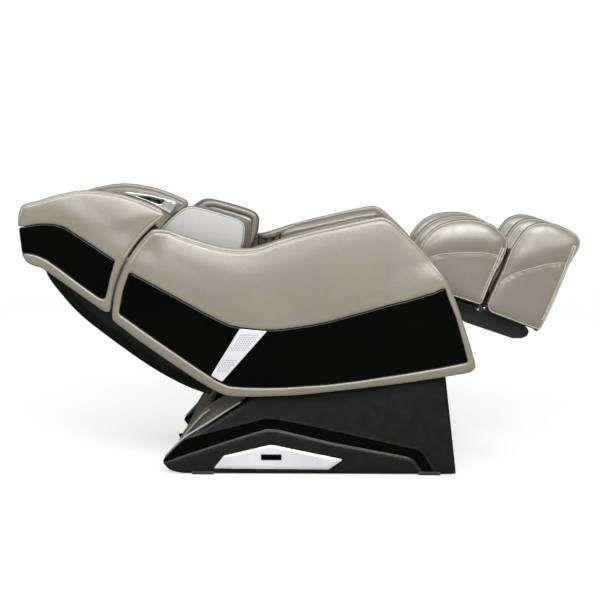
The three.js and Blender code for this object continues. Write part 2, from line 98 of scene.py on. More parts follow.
class Finish:
    """A procedural material: colour and roughness that vary, over layers of bump."""

    def __init__(self, name):
        self.material = bpy.data.materials.new(name)
        self.material.use_nodes = True
        self.tree = self.material.node_tree
        self.shader = self.tree.nodes["Principled BSDF"]
        self.place = self.node("TexCoord").outputs["Object"]

    def feed(self, entry, value):
        """Links an input to a socket, or sets it to a value."""
        if isinstance(value, bpy.types.NodeSocket):
            self.tree.links.new(value, entry)
        else:
            entry.default_value = value

    def node(self, kind, **inputs):
        made = self.tree.nodes.new(f"ShaderNode{kind}")
        for key, value in inputs.items():
            self.feed(made.inputs[key.replace("_", " ")], value)
        return made

    def set(self, **inputs):
        for key, value in inputs.items():
            self.feed(self.shader.inputs[key.replace("_", " ")], value)
        return self

    def noise(self, scale, detail=3.0, stretch=None):
        where = self.place
        if stretch is not None:
            where = self.node("Mapping", Vector=where, Scale=stretch).outputs["Vector"]
        return self.node("TexNoise", Vector=where, Scale=scale, Detail=detail).outputs["Fac"]

    def cells(self, scale):
        made = self.node("TexVoronoi", Vector=self.place, Scale=scale)
        made.feature = "DISTANCE_TO_EDGE"
        return made.outputs["Distance"]

    def spread(self, value, low, high, start=0.35, end=0.65):
        made = self.node("MapRange", Value=value, From_Min=start, From_Max=end, To_Min=low, To_Max=high)
        return made.outputs["Result"]

    def mix(self, share, first, second):
        """Blends two colours; inputs 6 and 7 and output 2 are the node's colour sockets."""
        made = self.node("Mix")
        made.data_type = "RGBA"
        self.feed(made.inputs["Factor"], share)
        self.feed(made.inputs[6], first)
        self.feed(made.inputs[7], second)
        return made.outputs[2]

    def blend_colours(self, value, first, second):
        return self.mix(self.spread(value, 0.0, 1.0), linear(*first), linear(*second))

    def lighter_on_edges(self, colour, edge_colour, amount):
        """Lightens the colour along raised edges, by how pointed the mesh is."""
        shape = self.node("NewGeometry").outputs["Pointiness"]
        return self.mix(self.spread(shape, 0.0, amount, 0.515, 0.58), colour, linear(*edge_colour))

    def speckled(self, colour, dark):
        """Fine darker mottling, as in the pores of leather."""
        pores = self.spread(self.noise(420.0), 0.0, 0.55, 0.45, 0.75)
        return self.mix(pores, colour, (*(0.72 * c for c in linear(*dark)[:3]), 1.0))

    def bumps(self, *layers):
        """Each layer is (height, distance in metres, strength)."""
        before = None
        for height, distance, strength in layers:
            made = self.node("Bump", Height=height, Distance=distance, Strength=strength)
            if before is not None:
                self.feed(made.inputs["Normal"], before)
            before = made.outputs["Normal"]
        return self.set(Normal=before)


def leather(name, light, dark, edge_colour, metal_share, rough, grain=380.0):
    f = Finish(name)
    tone = f.speckled(f.blend_colours(f.noise(2.4, 4.0), light, dark), dark)
    f.bumps(
        (f.noise(14.0, 2.0), 0.0024, 0.18),
        (f.noise(150.0, 2.0), 0.0010, 0.30),
        (f.cells(grain), 0.0008, 0.35),
        (f.noise(1300.0, 2.0), 0.0002, 0.4),
    )
    return f.set(
        Base_Color=f.lighter_on_edges(tone, edge_colour, 0.35),
        Roughness=f.spread(f.noise(38.0, 4.0), rough - 0.05, rough + 0.06),
        Metallic=metal_share, Specular_IOR_Level=1.0, Coat_Weight=1.0, Coat_Roughness=0.28,
    ).material


def moulding(name, light, dark, rough, grain, depth):
    f = Finish(name)
    f.bumps((f.noise(grain, 2.0), depth, 0.4))
    return f.set(
        Base_Color=f.lighter_on_edges(f.blend_colours(f.noise(3.0), light, dark), (92, 92, 90), 0.3),
        Roughness=f.spread(f.noise(24.0, 4.0), rough - 0.05, rough + 0.06),
    ).material


def polished(name, light, dark, rough):
    f = Finish(name)
    f.bumps((f.noise(5.0, 1.0), 0.0006, 0.06))
    return f.set(
        Base_Color=f.blend_colours(f.noise(2.0, 2.0), light, dark),
        Roughness=f.spread(f.noise(60.0, 5.0), rough * 0.6, rough * 1.7), IOR=1.45,
    ).material


def metal(name, light, dark, rough, metallic, brush=(1.0, 1.0, 1.0)):
    f = Finish(name)
    f.bumps((f.noise(420.0, 3.0, brush), 0.00012, 0.25))
    return f.set(
        Base_Color=f.blend_colours(f.noise(5.0), light, dark),
        Roughness=f.spread(f.noise(180.0, 4.0, brush), rough - 0.06, rough + 0.08), Metallic=metallic,
    ).material


TAUPE = leather("taupe_leather", (130, 122, 107), (120, 112, 97), (151, 143, 130), 0.12, 0.40)
GREY = leather("light_leather", (172, 171, 169), (160, 159, 156), (186, 185, 183), 0.05, 0.50, 430.0)
GLOSS = polished("gloss_black", (5, 5, 5), (8, 8, 7), 0.06)
MATTE = moulding("matte_black", (23, 23, 22), (18, 18, 17), 0.42, 1400.0, 0.0003)
SHELL = moulding("shell_black", (20, 20, 19), (15, 15, 14), 0.36, 1100.0, 0.0004)
SILVER = metal("silver_trim", (211, 211, 216), (199, 199, 205), 0.34, 0.25)
CHROME = metal("chrome", (236, 237, 240), (214, 216, 220), 0.16, 0.65)
STEEL = metal("bright_steel", (176, 180, 186), (150, 154, 160), 0.32, 0.95, (1.0, 12.0, 1.0))
PAINT = metal("painted_steel", (48, 49, 51), (38, 39, 41), 0.45, 0.3)
RUBBER = moulding("rubber", (34, 34, 34), (26, 26, 26), 0.75, 700.0, 0.0004)
PLASTIC = moulding("dark_plastic", (58, 58, 60), (48, 48, 50), 0.5, 1600.0, 0.0002)
# Darker copy of the taupe leather: painted shade, for the gathered folds, the pod creases and the gaps it
# lines.
SHADED_LINING = leather("lining_leather_painted_shade", (88, 80, 67), (68, 61, 50), (110, 102, 89), 0.1, 0.44)
TRIM = moulding("pale_trim", (168, 166, 160), (150, 147, 140), 0.4, 900.0, 0.0003)
THREAD = moulding("thread", (196, 190, 178), (176, 170, 156), 0.7, 2400.0, 0.0004)
PIPING = leather("piping_leather", (172, 164, 146), (160, 152, 134), (190, 183, 166), 0.1, 0.4, 700.0)
# Near-black brown: painted shade in the speaker holes and in the gap behind each wing.
PAINTED_SHADE = moulding("painted_shade_dark", (46, 42, 36), (34, 31, 27), 0.8, 900.0, 0.0003)


# ---------- outlines ----------
def cap_loop(node):
    """Outline, as (x, z) points, of a slab-shaped CAD node's main inward face."""
    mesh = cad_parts[node].data
    co = positions(mesh)
    inwards = -1 if co[:, 1].mean() > 1e-6 else 1
    levels = {}
    for face in mesh.polygons:
        if face.normal.y * inwards > 0.999:
            levels.setdefault(round(face.center.y, 4), []).append(face)
    faces = max(levels.values(), key=lambda group: sum(face.area for face in group))
    used = set()
    for face in faces:
        ring = [(round(co[i, 0], 6), round(co[i, 2], 6)) for i in face.vertices]
        used.update(zip(ring, ring[1:] + ring[:1]))
    after = {a: b for a, b in used if (b, a) not in used}
    loops = []
    while after:
        start = min(after)
        loop, here = [start], after.pop(start)
        while here != start and here in after:
            loop.append(here)
            here = after.pop(here)
        loops.append(np.array(loop))
    longest = max(loops, key=lambda pts: np.linalg.norm(np.ptp(pts, axis=0)))
    return anticlockwise(longest)


def area(points):
    x, z = points[:, 0], points[:, 1]
    return 0.5 * np.sum(x * np.roll(z, -1) - np.roll(x, -1) * z)


def anticlockwise(points):
    return points if area(points) > 0 else points[::-1]


def resample(points, step, closed=True):
    pts = np.vstack([points, points[:1]]) if closed else np.asarray(points, float)
    lengths = np.r_[0, np.cumsum(np.linalg.norm(np.diff(pts, axis=0), axis=1))]
    count = max(8, int(round(lengths[-1] / step)))
    at = np.linspace(0, lengths[-1], count + (0 if closed else 1), endpoint=not closed)
    return np.stack([np.interp(at, lengths, pts[:, k]) for k in range(pts.shape[1])], axis=1)


def rounded(points, soften=0.010, step=0.006):
    """The outline evenly spaced, with its corners rounded over about the softening length."""
    fine = resample(anticlockwise(np.asarray(points, float)), 0.002)
    reach = int(3 * soften / 0.002)
    weights = np.exp(-0.5 * (np.arange(-reach, reach + 1) * 0.002 / soften) ** 2)
    weights /= weights.sum()
    smooth = sum(w * np.roll(fine, k - reach, axis=0) for k, w in enumerate(weights))
    return resample(smooth, step)


def smooth_line(points, step=0.01):
    """A smooth open curve through a few points."""
    pts = np.asarray(points, float)
    ends = np.vstack([2 * pts[0] - pts[1], pts, 2 * pts[-1] - pts[-2]])
    out = []
    for i in range(1, len(ends) - 2):
        a, b, c, d = ends[i - 1:i + 3]
        for t in np.linspace(0, 1, 12, endpoint=False):
            out.append(0.5 * (2 * b + (c - a) * t + (2 * a - 5 * b + 4 * c - d) * t**2
                              + (3 * b - a - 3 * c + d) * t**3))
    out.append(pts[-1])
    return resample(np.array(out), step, closed=False)


def offset(points, distance):
    """The closed outline moved outwards (or inwards, if negative)."""
    ahead, behind = np.roll(points, -1, axis=0), np.roll(points, 1, axis=0)
    along = ahead - behind
    along /= np.linalg.norm(along, axis=1)[:, None]
    return points + distance * np.stack([along[:, 1], -along[:, 0]], axis=1)


def distance_to(points, loop, closed=True):
    """Distance of each point to a polyline."""
    a = loop if closed else loop[:-1]
    b = np.roll(loop, -1, axis=0) if closed else loop[1:]
    best = np.full(len(points), 1e9)
    for start, end in zip(a, b):
        d = end - start
        t = np.clip(((points - start) @ d) / max(d @ d, 1e-12), 0, 1)
        best = np.minimum(best, np.linalg.norm(points - start - t[:, None] * d, axis=1))
    return best


def inside(points, loop):
    """True where a point lies within the closed outline."""
    x, z = points[:, 0], points[:, 1]
    result = np.zeros(len(points), bool)
    for (ax, az), (bx, bz) in zip(loop, np.roll(loop, -1, axis=0)):
        crosses = (az > z) != (bz > z)
        with np.errstate(divide="ignore", invalid="ignore"):
            result ^= crosses & (x < ax + (z - az) * (bx - ax) / (bz - az))
    return result


def sideways(points):
    """Unit vectors to the right of an open line's direction."""
    along = np.gradient(points, axis=0)
    along /= np.linalg.norm(along, axis=1)[:, None]
    return np.stack([along[:, 1], -along[:, 0]], axis=1)


def rectangle(low, high):
    return np.array([low, (high[0], low[1]), high, (low[0], high[1])])


# ---------- mesh building ----------
def link(name, data):
    """A new object in the scene."""
    obj = bpy.data.objects.new(name, data)
    bpy.context.scene.collection.objects.link(obj)
    return obj


def positions(mesh):
    return np.array([v.co[:] for v in mesh.vertices])


def to_object(name, verts, faces, material, smooth=True):
    mesh = bpy.data.meshes.new(name)
    mesh.from_pydata([tuple(map(float, v)) for v in verts], [], faces)
    mesh.update()
    built = bmesh.new()
    built.from_mesh(mesh)
    bmesh.ops.remove_doubles(built, verts=built.verts, dist=1e-6)
    bmesh.ops.recalc_face_normals(built, faces=built.faces)
    built.to_mesh(mesh)
    built.free()
    for face in mesh.polygons:
        face.use_smooth = smooth
    mesh.materials.append(material)
    return link(name, mesh)


def place(obj, body, replaces=()):
    """Rides the piece on its body and hides the CAD parts that it replaces."""
    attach(obj, body)
    if replaces:
        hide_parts(*replaces)
    return obj


def triangulate(outline, holes=(), rings=(), grid=0.014, marks=()):
    """Fills an outline, less its holes, with points on inset rings and a grid.

    Returns the points, triangles, and their distances to the outline and to the holes.
    """
    loops = [outline, *holes, *marks]
    points = [p for loop in loops for p in loop]
    edges, start = [], 0
    for loop in loops:
        edges += [(start + i, start + (i + 1) % len(loop)) for i in range(len(loop))]
        start += len(loop)
    extra = []
    for inset in rings:
        extra.append(offset(outline, -inset))
        extra += [offset(anticlockwise(hole), inset) for hole in holes]
    low, high = outline.min(axis=0), outline.max(axis=0)
    rows = np.arange(low[1], high[1], grid * HEX_ROWS)
    cols = np.arange(low[0], high[0], grid)
    lattice = np.array([[x + (j % 2) * grid / 2, z] for j, z in enumerate(rows) for x in cols])
    margin = (max(rings) if rings else 0) + 0.5 * grid
    keep = [np.zeros((0, 2))]
    for index, cloud in enumerate([*extra, lattice]):
        near = distance_to(cloud, outline)
        for hole in holes:
            near = np.minimum(near, distance_to(cloud, hole))
        limit = margin if cloud is lattice else 0.93 * rings[index // (1 + len(holes))]
        good = inside(cloud, outline) & (near >= limit)
        for hole in holes:
            good &= ~inside(cloud, hole)
        for mark in marks:
            good &= distance_to(cloud, mark) > 0.004
        keep.append(cloud[good])
    points += [p for cloud in keep for p in cloud]
    out = geometry.delaunay_2d_cdt([Vector(map(float, p)) for p in points], edges, [], 0, 1e-7)
    flat = np.array([v[:] for v in out[0]])
    faces = np.array([f for f in out[2] if len(f) == 3])
    middle = flat[faces].mean(axis=1)
    good = inside(middle, outline)
    for hole in holes:
        good &= ~inside(middle, hole)
    faces = faces[good]
    used = np.unique(faces)
    index = np.full(len(flat), -1)
    index[used] = np.arange(len(used))
    flat, faces = flat[used], index[faces]
    far = np.full(len(flat), 1e9)
    for hole in holes:
        far = np.minimum(far, distance_to(flat, hole))
    return flat, faces, distance_to(flat, outline), far


def roll(distance, width, depth):
    """Height lost near an edge that is rounded over a width."""
    t = 1 - np.clip(distance / width, 0, 1)
    return depth * (1 - np.sqrt(np.clip(1 - t**2, 0, 1)))


def groove(distance, centre, width, depth):
    return depth * np.exp(-((distance - centre) / width) ** 2)


def slab(name, outline, near_y, far_y, near_drop, far_drop, material,
         holes=(), rings=(), grid=0.014, marks=(), second=None):
    """A closed slab between two y stations, each face lowered by its drop function.

    A drop function takes the points and their distances to the outline and to the holes.
    second is (outline, material) for faces that take another material.
    """
    flat, faces, edge, hole_edge = triangulate(outline, holes, rings, grid, marks)
    inward = 1 if far_y > near_y else -1
    near = near_y + inward * near_drop(flat, edge, hole_edge)
    far = far_y - inward * far_drop(flat, edge, hole_edge)
    count = len(flat)
    verts = [(p[0], y, p[1]) for p, y in zip(flat, near)]
    verts += [(p[0], y, p[1]) for p, y in zip(flat, far)]
    lists = [tuple(int(i) for i in f) for f in faces]
    lists += [tuple(int(i) + count for i in f[::-1]) for f in faces]
    directed = {(a, b) for f in faces for a, b in ((f[0], f[1]), (f[1], f[2]), (f[2], f[0]))}
    for a, b in directed:
        if (b, a) not in directed:
            lists.append((int(b), int(a), int(a) + count, int(b) + count))
    obj = to_object(name, verts, lists, material)
    if second is not None:
        obj.data.materials.append(second[1])
        centres = np.array([face.center[:] for face in obj.data.polygons])
        within = inside(centres[:, [0, 2]], second[0])
        for face, hit in zip(obj.data.polygons, within):
            face.material_index = int(hit)
    return obj


def part(name, body, *shape, replaces=(), fill=None, **cut):
    """A slab placed on its body."""
    return place(slab(name, *shape, **cut), body, replaces)


def flat_drop(depth=0.0):
    return lambda points, edge, hole: np.full(len(points), depth)


def round_drop(width, depth, crown=0.0, reach=0.12):
    """Rounded edges, with a gentle crown over the middle."""
    def drop(points, edge, hole):
        near = np.minimum(edge, hole)
        return roll(near, width, depth) + crown * np.exp(-near / reach)
    return drop


ROUND_RINGS = (0.0006, 0.002, 0.0045, 0.008, 0.012)


def closed_grid(name, top, bottom, material):
    """A closed sheet from two grids of points, rows by columns by 3."""
    rows, columns = top.shape[:2]
    verts = np.concatenate([top.reshape(-1, 3), bottom.reshape(-1, 3)])
    count = rows * columns
    faces = []
    for i in range(rows - 1):
        for j in range(columns - 1):
            a = i * columns + j
            faces.append((a, a + 1, a + columns + 1, a + columns))
            faces.append((a + count, a + columns + count, a + columns + 1 + count, a + 1 + count))
    for i in range(rows - 1):
        for j in (0, columns - 1):
            a, b = i * columns + j, (i + 1) * columns + j
            faces.append((a, b, b + count, a + count))
    for j in range(columns - 1):
        for i in (0, rows - 1):
            a = i * columns + j
            faces.append((a, a + 1, a + 1 + count, a + count))
    return to_object(name, verts, faces, material)


def cord(name, points, radius, material, body, closed=False):
    """A round cord along 3-D points, placed on its body."""
    data = bpy.data.curves.new(name, "CURVE")
    data.dimensions = "3D"
    data.bevel_depth = radius
    data.bevel_resolution = 3
    data.use_fill_caps = True
    data.materials.append(material)
    line = data.splines.new("POLY")
    line.points.add(len(points) - 1)
    for spot, p in zip(line.points, points):
        spot.co = (*map(float, p), 1.0)
    line.use_cyclic_u = closed
    curve = link(name, data)
    mesh = bpy.data.meshes.new_from_object(curve)
    bpy.data.objects.remove(curve)
    for face in mesh.polygons:
        face.use_smooth = True
    return place(link(name, mesh), body)


def stitches(name, points, material, length=0.0042, gap=0.0026, radius=0.0006):
    """A row of short raised threads along 3-D points."""
    line = resample(np.asarray(points, float), length + gap, closed=False)
    verts, faces = [], []
    for start, end in zip(line[:-1], line[1:]):
        along = (end - start) / max(np.linalg.norm(end - start), 1e-9)
        side = np.cross(along, (0.3, 0.7, 0.2))
        side /= np.linalg.norm(side)
        up = np.cross(along, side)
        base = len(verts)
        for portion, size in ((0.0, 0.35), (0.25, 1.0), (0.75, 1.0), (1.0, 0.35)):
            centre = start + along * length * portion
            for k in range(6):
                angle = k * math.pi / 3
                verts.append(centre + radius * size * (math.cos(angle) * side + math.sin(angle) * up))
        for ring in range(3):
            for k in range(6):
                a, b = base + ring * 6 + k, base + ring * 6 + (k + 1) % 6
                faces.append((a, b, b + 6, a + 6))
        faces.append(tuple(base + k for k in range(5, -1, -1)))
        faces.append(tuple(base + 18 + k for k in range(6)))
    return to_object(name, verts, faces, material)


def on_face(obj, points, start_y, lift=0.0):
    """Points (x, z) laid on the side of an object that faces the start station."""
    mesh = obj.data
    tree = bvhtree.BVHTree.FromPolygons(
        [v.co[:] for v in mesh.vertices], [face.vertices[:] for face in mesh.polygons]
    )
    middle = sum(v.co.y for v in mesh.vertices) / len(mesh.vertices)
    towards = 1 if middle > start_y else -1
    laid = []
    for x, z in points:
        hit = tree.ray_cast(Vector((x, start_y, z)), Vector((0, towards, 0)))[0]
        if hit is not None:
            laid.append((x, hit.y - towards * lift, z))
    return np.array(laid)


def piping(name, obj, points, start_y, radius, material, body, closed=False, stitch=None):
    """A cord laid half sunk on an object's side, with stitches beside it if wanted."""
    laid = on_face(obj, points, start_y, radius * 0.2)
    cord(name, laid, radius, material, body, closed)
    if stitch is not None:
        beside = on_face(obj, np.asarray(points) + stitch, start_y, 0.0002)
        place(stitches(f"{name}_thread", beside, THREAD), body)


def relax(obj, rounds, strength=0.5):
    """Smooths a closed mesh by moving each point towards its neighbours."""
    mesh = obj.data
    co = positions(mesh)
    edges = np.array([e.vertices[:] for e in mesh.edges])
    degree = np.bincount(edges.ravel(), minlength=len(co))[:, None]
    for _ in range(rounds):
        total = np.zeros_like(co)
        np.add.at(total, edges[:, 0], co[edges[:, 1]])
        np.add.at(total, edges[:, 1], co[edges[:, 0]])
        co += strength * (total / degree - co)
    mesh.vertices.foreach_set("co", co.ravel())
    mesh.update()


def applied(obj):
    """The object with its modifiers made part of its mesh."""
    graph = bpy.context.evaluated_depsgraph_get()
    mesh = bpy.data.meshes.new_from_object(obj.evaluated_get(graph))
    obj.modifiers.clear()
    obj.data = mesh
    for face in mesh.polygons:
        face.use_smooth = True
    return obj


def remeshed(obj, voxel):
    modifier = obj.modifiers.new("remesh", "REMESH")
    modifier.mode = "VOXEL"
    modifier.voxel_size = voxel
    return applied(obj)


def inflate(obj, pressure, cap):
    """Swells a closed mesh as cloth under pressure, then limits how far a point moved."""
    before = positions(obj.data)
    cloth = obj.modifiers.new("cloth", "CLOTH")
    cloth.settings.use_pressure = True
    cloth.settings.uniform_pressure_force = pressure
    cloth.settings.quality = 5
    cloth.settings.mass = 0.25
    cloth.settings.tension_stiffness = 18
    cloth.settings.compression_stiffness = 18
    cloth.settings.bending_stiffness = 0.6
    cloth.settings.effector_weights.gravity = 0
    cloth.collision_settings.use_collision = False
    for number in range(1, 21):
        bpy.context.scene.frame_set(number)
    applied(obj)
    bpy.context.scene.frame_set(1)
    after = positions(obj.data)
    move = after - before
    length = np.linalg.norm(move, axis=1)[:, None]
    move *= np.minimum(1.0, cap / np.maximum(length, 1e-9))
    obj.data.vertices.foreach_set("co", (before + move).ravel())
    obj.data.update()


def subdivided(obj, levels=1):
    modifier = obj.modifiers.new("subdivide", "SUBSURF")
    modifier.levels = modifier.render_levels = levels
    return applied(obj)


def soft_copy(name, node, material, voxel=0.009, rounds=10, pressure=None, cap=0.012):
    """A padded piece made from a CAD solid: rounded, swelled as cloth and subdivided."""
    obj = link(name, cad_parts[node].data.copy())
    obj.data.materials.clear()
    remeshed(obj, voxel)
    relax(obj, rounds)
    if pressure is not None:
        inflate(obj, pressure, cap)
    subdivided(obj)
    obj.data.materials.clear()
    obj.data.materials.append(material)
    return obj


def reshape(obj, change):
    """Moves every point by change(points, normals), an array of moves."""
    mesh = obj.data
    co = positions(mesh)
    normals = np.array([v.normal[:] for v in mesh.vertices])
    mesh.vertices.foreach_set("co", (co + change(co, normals)).ravel())
    mesh.update()


def bevelled(node, material, width, segments):
    """Keeps a CAD node whose shape is right, with eased edges and a better material."""
    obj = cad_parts[node]
    obj.data.materials.clear()
    obj.data.materials.append(material)
    modifier = obj.modifiers.new("edges", "BEVEL")
    modifier.width = width
    modifier.segments = segments
    modifier.limit_method = "ANGLE"
    modifier.angle_limit = math.radians(35)
    modifier.harden_normals = True
    for face in obj.data.polygons:
        face.use_smooth = True


# ---------- camera ----------
def camera():
    data = bpy.data.cameras.new("camera")
    data.sensor_width = 36
    data.lens = CAMERA_LENS
    obj = link("camera", data)
    obj.location = CAMERA_PLACE
    obj.rotation_euler = [math.radians(angle) for angle in CAMERA_TURN]
    bpy.context.scene.camera = obj


# ---------- arms and wings ----------
def panel_drop(insert, rim, crown):
    """Outer face of an arm or wing: a wide roll, tight beside the insert and the neck gap."""
    def drop(points, edge, hole):
        away = np.clip((distance_to(points, insert) - 0.030) / 0.08, 0, 1)
        away = away * away * (3 - 2 * away)
        reach = np.hypot(points[:, 0] - RECLINE[0], points[:, 1] - RECLINE[1])
        neck = np.exp(-((reach - 0.4215) / 0.045) ** 2) * (points[:, 0] < -0.40)
        away = away * (1 - 0.85 * neck)
        wide = crown(points[:, 0]) * np.exp(-edge / 0.058)
        tight = 0.004 * np.exp(-edge / 0.012)
        crease = groove(edge, rim, 0.0024, 0.0022) * ease(distance_to(points, insert), 0.028, 0.042)
        lip = roll(hole, 0.007, 0.005)
        return away * wide + (1 - away) * tight + roll(edge, 0.009, 0.005) + crease + lip
    return drop


def ease(value, start, end):
    """0 before start, 1 after end, smooth between."""
    t = np.clip((value - start) / (end - start), 0, 1)
    return t * t * (3 - 2 * t)


def arm_crown(x):
    """The arm is fullest at its rear half."""
    return 0.026 - 0.013 * ease(x, -0.08, 0.14)


def wing_crown(x):
    """The wing is fullest towards the shoulder."""
    return 0.011 + 0.015 * ease(x, -0.84, -0.66)


def panel_rings(rim):
    return (0.0006, 0.0025, 0.005, rim - 0.0025, rim, rim + 0.0025, rim + 0.006, rim + 0.012)


def rim_piping(name, panel, outline, insert, sign, body, rim):
    """Cord sewn along the rim's crease."""
    line = offset(outline, -rim)
    line = line[distance_to(line, insert) > 0.034]
    laid = on_face(panel, line, sign * OUTSIDE, -0.0003)
    breaks = np.linalg.norm(np.diff(laid, axis=0), axis=1) > 0.02
    runs = np.split(laid, np.flatnonzero(breaks) + 1)
    for number, run in enumerate(run for run in runs if len(run) > 6):
        cord(f"{name}_{number}", run, 0.0015, PIPING, body)


def crowned_insert(points, edge, hole):
    """Gloss insert: a bright bevelled edge, then a barely domed face."""
    return 0.0028 * np.clip(1 - edge / 0.0032, 0, 1) + 0.0016 * np.exp(-edge / 0.05)


INSERT_RINGS = (0.0016, 0.0032, 0.0040, 0.010, 0.020)


def gloss_face(kind, name, sign, body, insert, thickness):
    """Gloss panel set in the side of an arm or a wing."""
    part(
        f"{kind}_gloss_{name}", body, insert, sign * INSERT_FACE, sign * (INSERT_FACE - thickness),
        crowned_insert, flat_drop(), GLOSS, rings=INSERT_RINGS, grid=0.03,
        replaces=[f"{kind}_insert_{name}"],
    )


def arm_panels():
    for name, sign in SIDES.items():
        outline = rounded(cap_loop(f"arm_shell_{name}"), 0.009)
        insert = rounded(cap_loop(f"arm_insert_{name}"), 0.004)
        panel = part(
            f"arm_panel_{name}", "carriage", outline, sign * PANEL_FACE, sign * SHELL_IN,
            panel_drop(insert, ARM_RIM, arm_crown), round_drop(0.006, 0.004), TAUPE,
            holes=[offset(insert, 0.0012)], rings=panel_rings(ARM_RIM), grid=0.012,
            replaces=[f"arm_shell_{name}"], fill=0.9,
        )
        rim_piping(f"arm_rim_{name}", panel, outline, insert, sign, "carriage", ARM_RIM)
        gloss_face("arm", name, sign, "carriage", insert, 0.012)
        speaker(name, sign)


HOLE_PITCH = 0.0082  # between the speaker holes
HOLE_BANDS = ((0.364, 0.406), (0.430, 0.488))  # heights that hold them


def speaker(name, sign):
    """Silver strip across the gloss insert, with two patches of small round holes."""
    outline = rounded(cap_loop(f"speaker_grille_{name}"), 0.0025, 0.004)
    face = sign * (INSERT_FACE + 0.002)
    part(
        f"speaker_strip_{name}", "carriage", outline, face, sign * (INSERT_FACE - 0.004),
        round_drop(0.003, 0.0018), flat_drop(), SILVER, rings=(0.0006, 0.0015, 0.003), grid=0.02,
        replaces=[f"speaker_grille_{name}"],
    )
    verts, faces = [], []
    field = offset(outline, -0.0085)
    rows = np.arange(outline[:, 1].min(), outline[:, 1].max(), HOLE_PITCH * HEX_ROWS)
    for number, z in enumerate(rows):
        if not any(low < z < high for low, high in HOLE_BANDS):
            continue
        columns = np.arange(outline[:, 0].min(), outline[:, 0].max(), HOLE_PITCH)
        columns = columns + HOLE_PITCH / 2 * (number % 2)
        spots = np.stack([columns, np.full_like(columns, z)], axis=1)
        for spot in spots[inside(spots, field)]:
            hole_disc(verts, faces, spot, face + sign * 0.0002, sign, 0.0019)
    place(to_object(f"speaker_holes_{name}", verts, faces, PAINTED_SHADE, smooth=False), "carriage")


def hole_disc(verts, faces, centre, y, sign, radius):
    """A shallow dark dome that stands for one punched hole, its darkness painted shade inside the hole."""
    base = len(verts)
    for size, depth in ((1.0, -0.0006), (0.8, 0.0001)):
        for k in range(8):
            angle = k * math.pi / 4
            x = centre[0] + radius * size * math.cos(angle)
            z = centre[1] + radius * size * math.sin(angle)
            verts.append((x, y + sign * depth, z))
    for k in range(8):
        a, b = base + k, base + (k + 1) % 8
        faces.append((a, b, b + 8, a + 8))
    faces.append(tuple(base + 8 + k for k in range(8)))
    faces.append(tuple(base + k for k in range(7, -1, -1)))


def wing_inner_drop(points, edge, hole):
    """Inner face of a wing: rounded, with a sewn border."""
    return roll(edge, 0.010, 0.007) + groove(edge, 0.014, 0.0025, 0.0022) + 0.003 * np.exp(-edge / 0.03)


def neck_gap_shade(name, sign):
    """Dark sheet behind the gap between wing and arm: painted shade of the gap."""
    inner, outer = 0.396, 0.438
    angles = np.radians(np.linspace(130, 176, 40))
    arc_out = [(RECLINE[0] + outer * math.cos(a), RECLINE[1] + outer * math.sin(a)) for a in angles]
    arc_in = [(RECLINE[0] + inner * math.cos(a), RECLINE[1] + inner * math.sin(a)) for a in angles[::-1]]
    outline = rounded(arc_out + arc_in, 0.003)
    part(
        f"neck_gap_shade_{name}", "backrest", outline, sign * 0.3905, sign * 0.3885, flat_drop(),
        flat_drop(), PAINTED_SHADE, rings=(0.004,), grid=0.02,
    )


def wing_panels():
    for name, sign in SIDES.items():
        outline = rounded(cap_loop(f"head_wing_{name}"), 0.008)
        insert = rounded(cap_loop(f"wing_insert_{name}"), 0.004)
        cut = insert.copy()
        cut[:, 0] -= np.where(cut[:, 0] < -0.915, 0.03, 0)
        panel = part(
            f"wing_panel_{name}", "backrest", outline, sign * PANEL_FACE, sign * SHELL_IN,
            panel_drop(insert, WING_RIM, wing_crown), wing_inner_drop, TAUPE,
            holes=[offset(cut, 0.0012)], rings=panel_rings(WING_RIM), grid=0.012,
            replaces=[f"head_wing_{name}"], fill=0.9,
        )
        rim_piping(f"wing_rim_{name}", panel, outline, insert, sign, "backrest", WING_RIM)
        neck_gap_shade(name, sign)
        gloss_face("wing", name, sign, "backrest", insert, 0.03)
        bezel(name, sign)


def bezel(name, sign):
    """Bright trim with a dark grille on the inner face of a wing."""
    outer = rounded([
        (-0.703, 0.928), (-0.614, 0.900), (-0.545, 0.862), (-0.519, 0.846), (-0.495, 0.884),
        (-0.500, 0.897), (-0.540, 0.908), (-0.614, 0.925), (-0.688, 0.935),
    ], 0.004, 0.004)
    mesh_area = rounded([(-0.655, 0.919), (-0.560, 0.884), (-0.540, 0.901), (-0.600, 0.915)], 0.003, 0.004)
    near = sign * (SHELL_IN - 0.010)
    part(
        f"wing_bezel_{name}", "backrest", outer, near, sign * (SHELL_IN + 0.004),
        round_drop(0.006, 0.004), flat_drop(), CHROME, holes=[mesh_area], rings=(0.0006, 0.002, 0.004),
        grid=0.01,
    )
    part(
        f"wing_grille_{name}", "backrest", offset(mesh_area, 0.001), near + sign * 0.004,
        sign * (SHELL_IN + 0.003), flat_drop(), flat_drop(), GLOSS, grid=0.01,
    )


# ---------- base ----------
COVER_LIFT = 0.003  # clearance under the covers
COVER_CHANNEL = np.array([
    (-0.490, 0.036), (-0.463, 0.052), (-0.400, 0.117), (-0.300, 0.144), (-0.199, 0.170), (-0.122, 0.191),
    (-0.080, 0.189), (0.041, 0.165), (0.372, 0.091), (0.398, 0.083), (0.413, 0.072), (0.462, -0.010),
    (0.430, -0.010), (0.390, 0.044), (0.381, 0.053), (0.366, 0.060), (0.106, 0.109), (-0.074, 0.152),
    (-0.115, 0.156), (-0.199, 0.131), (-0.349, 0.081), (-0.478, 0.036),
])


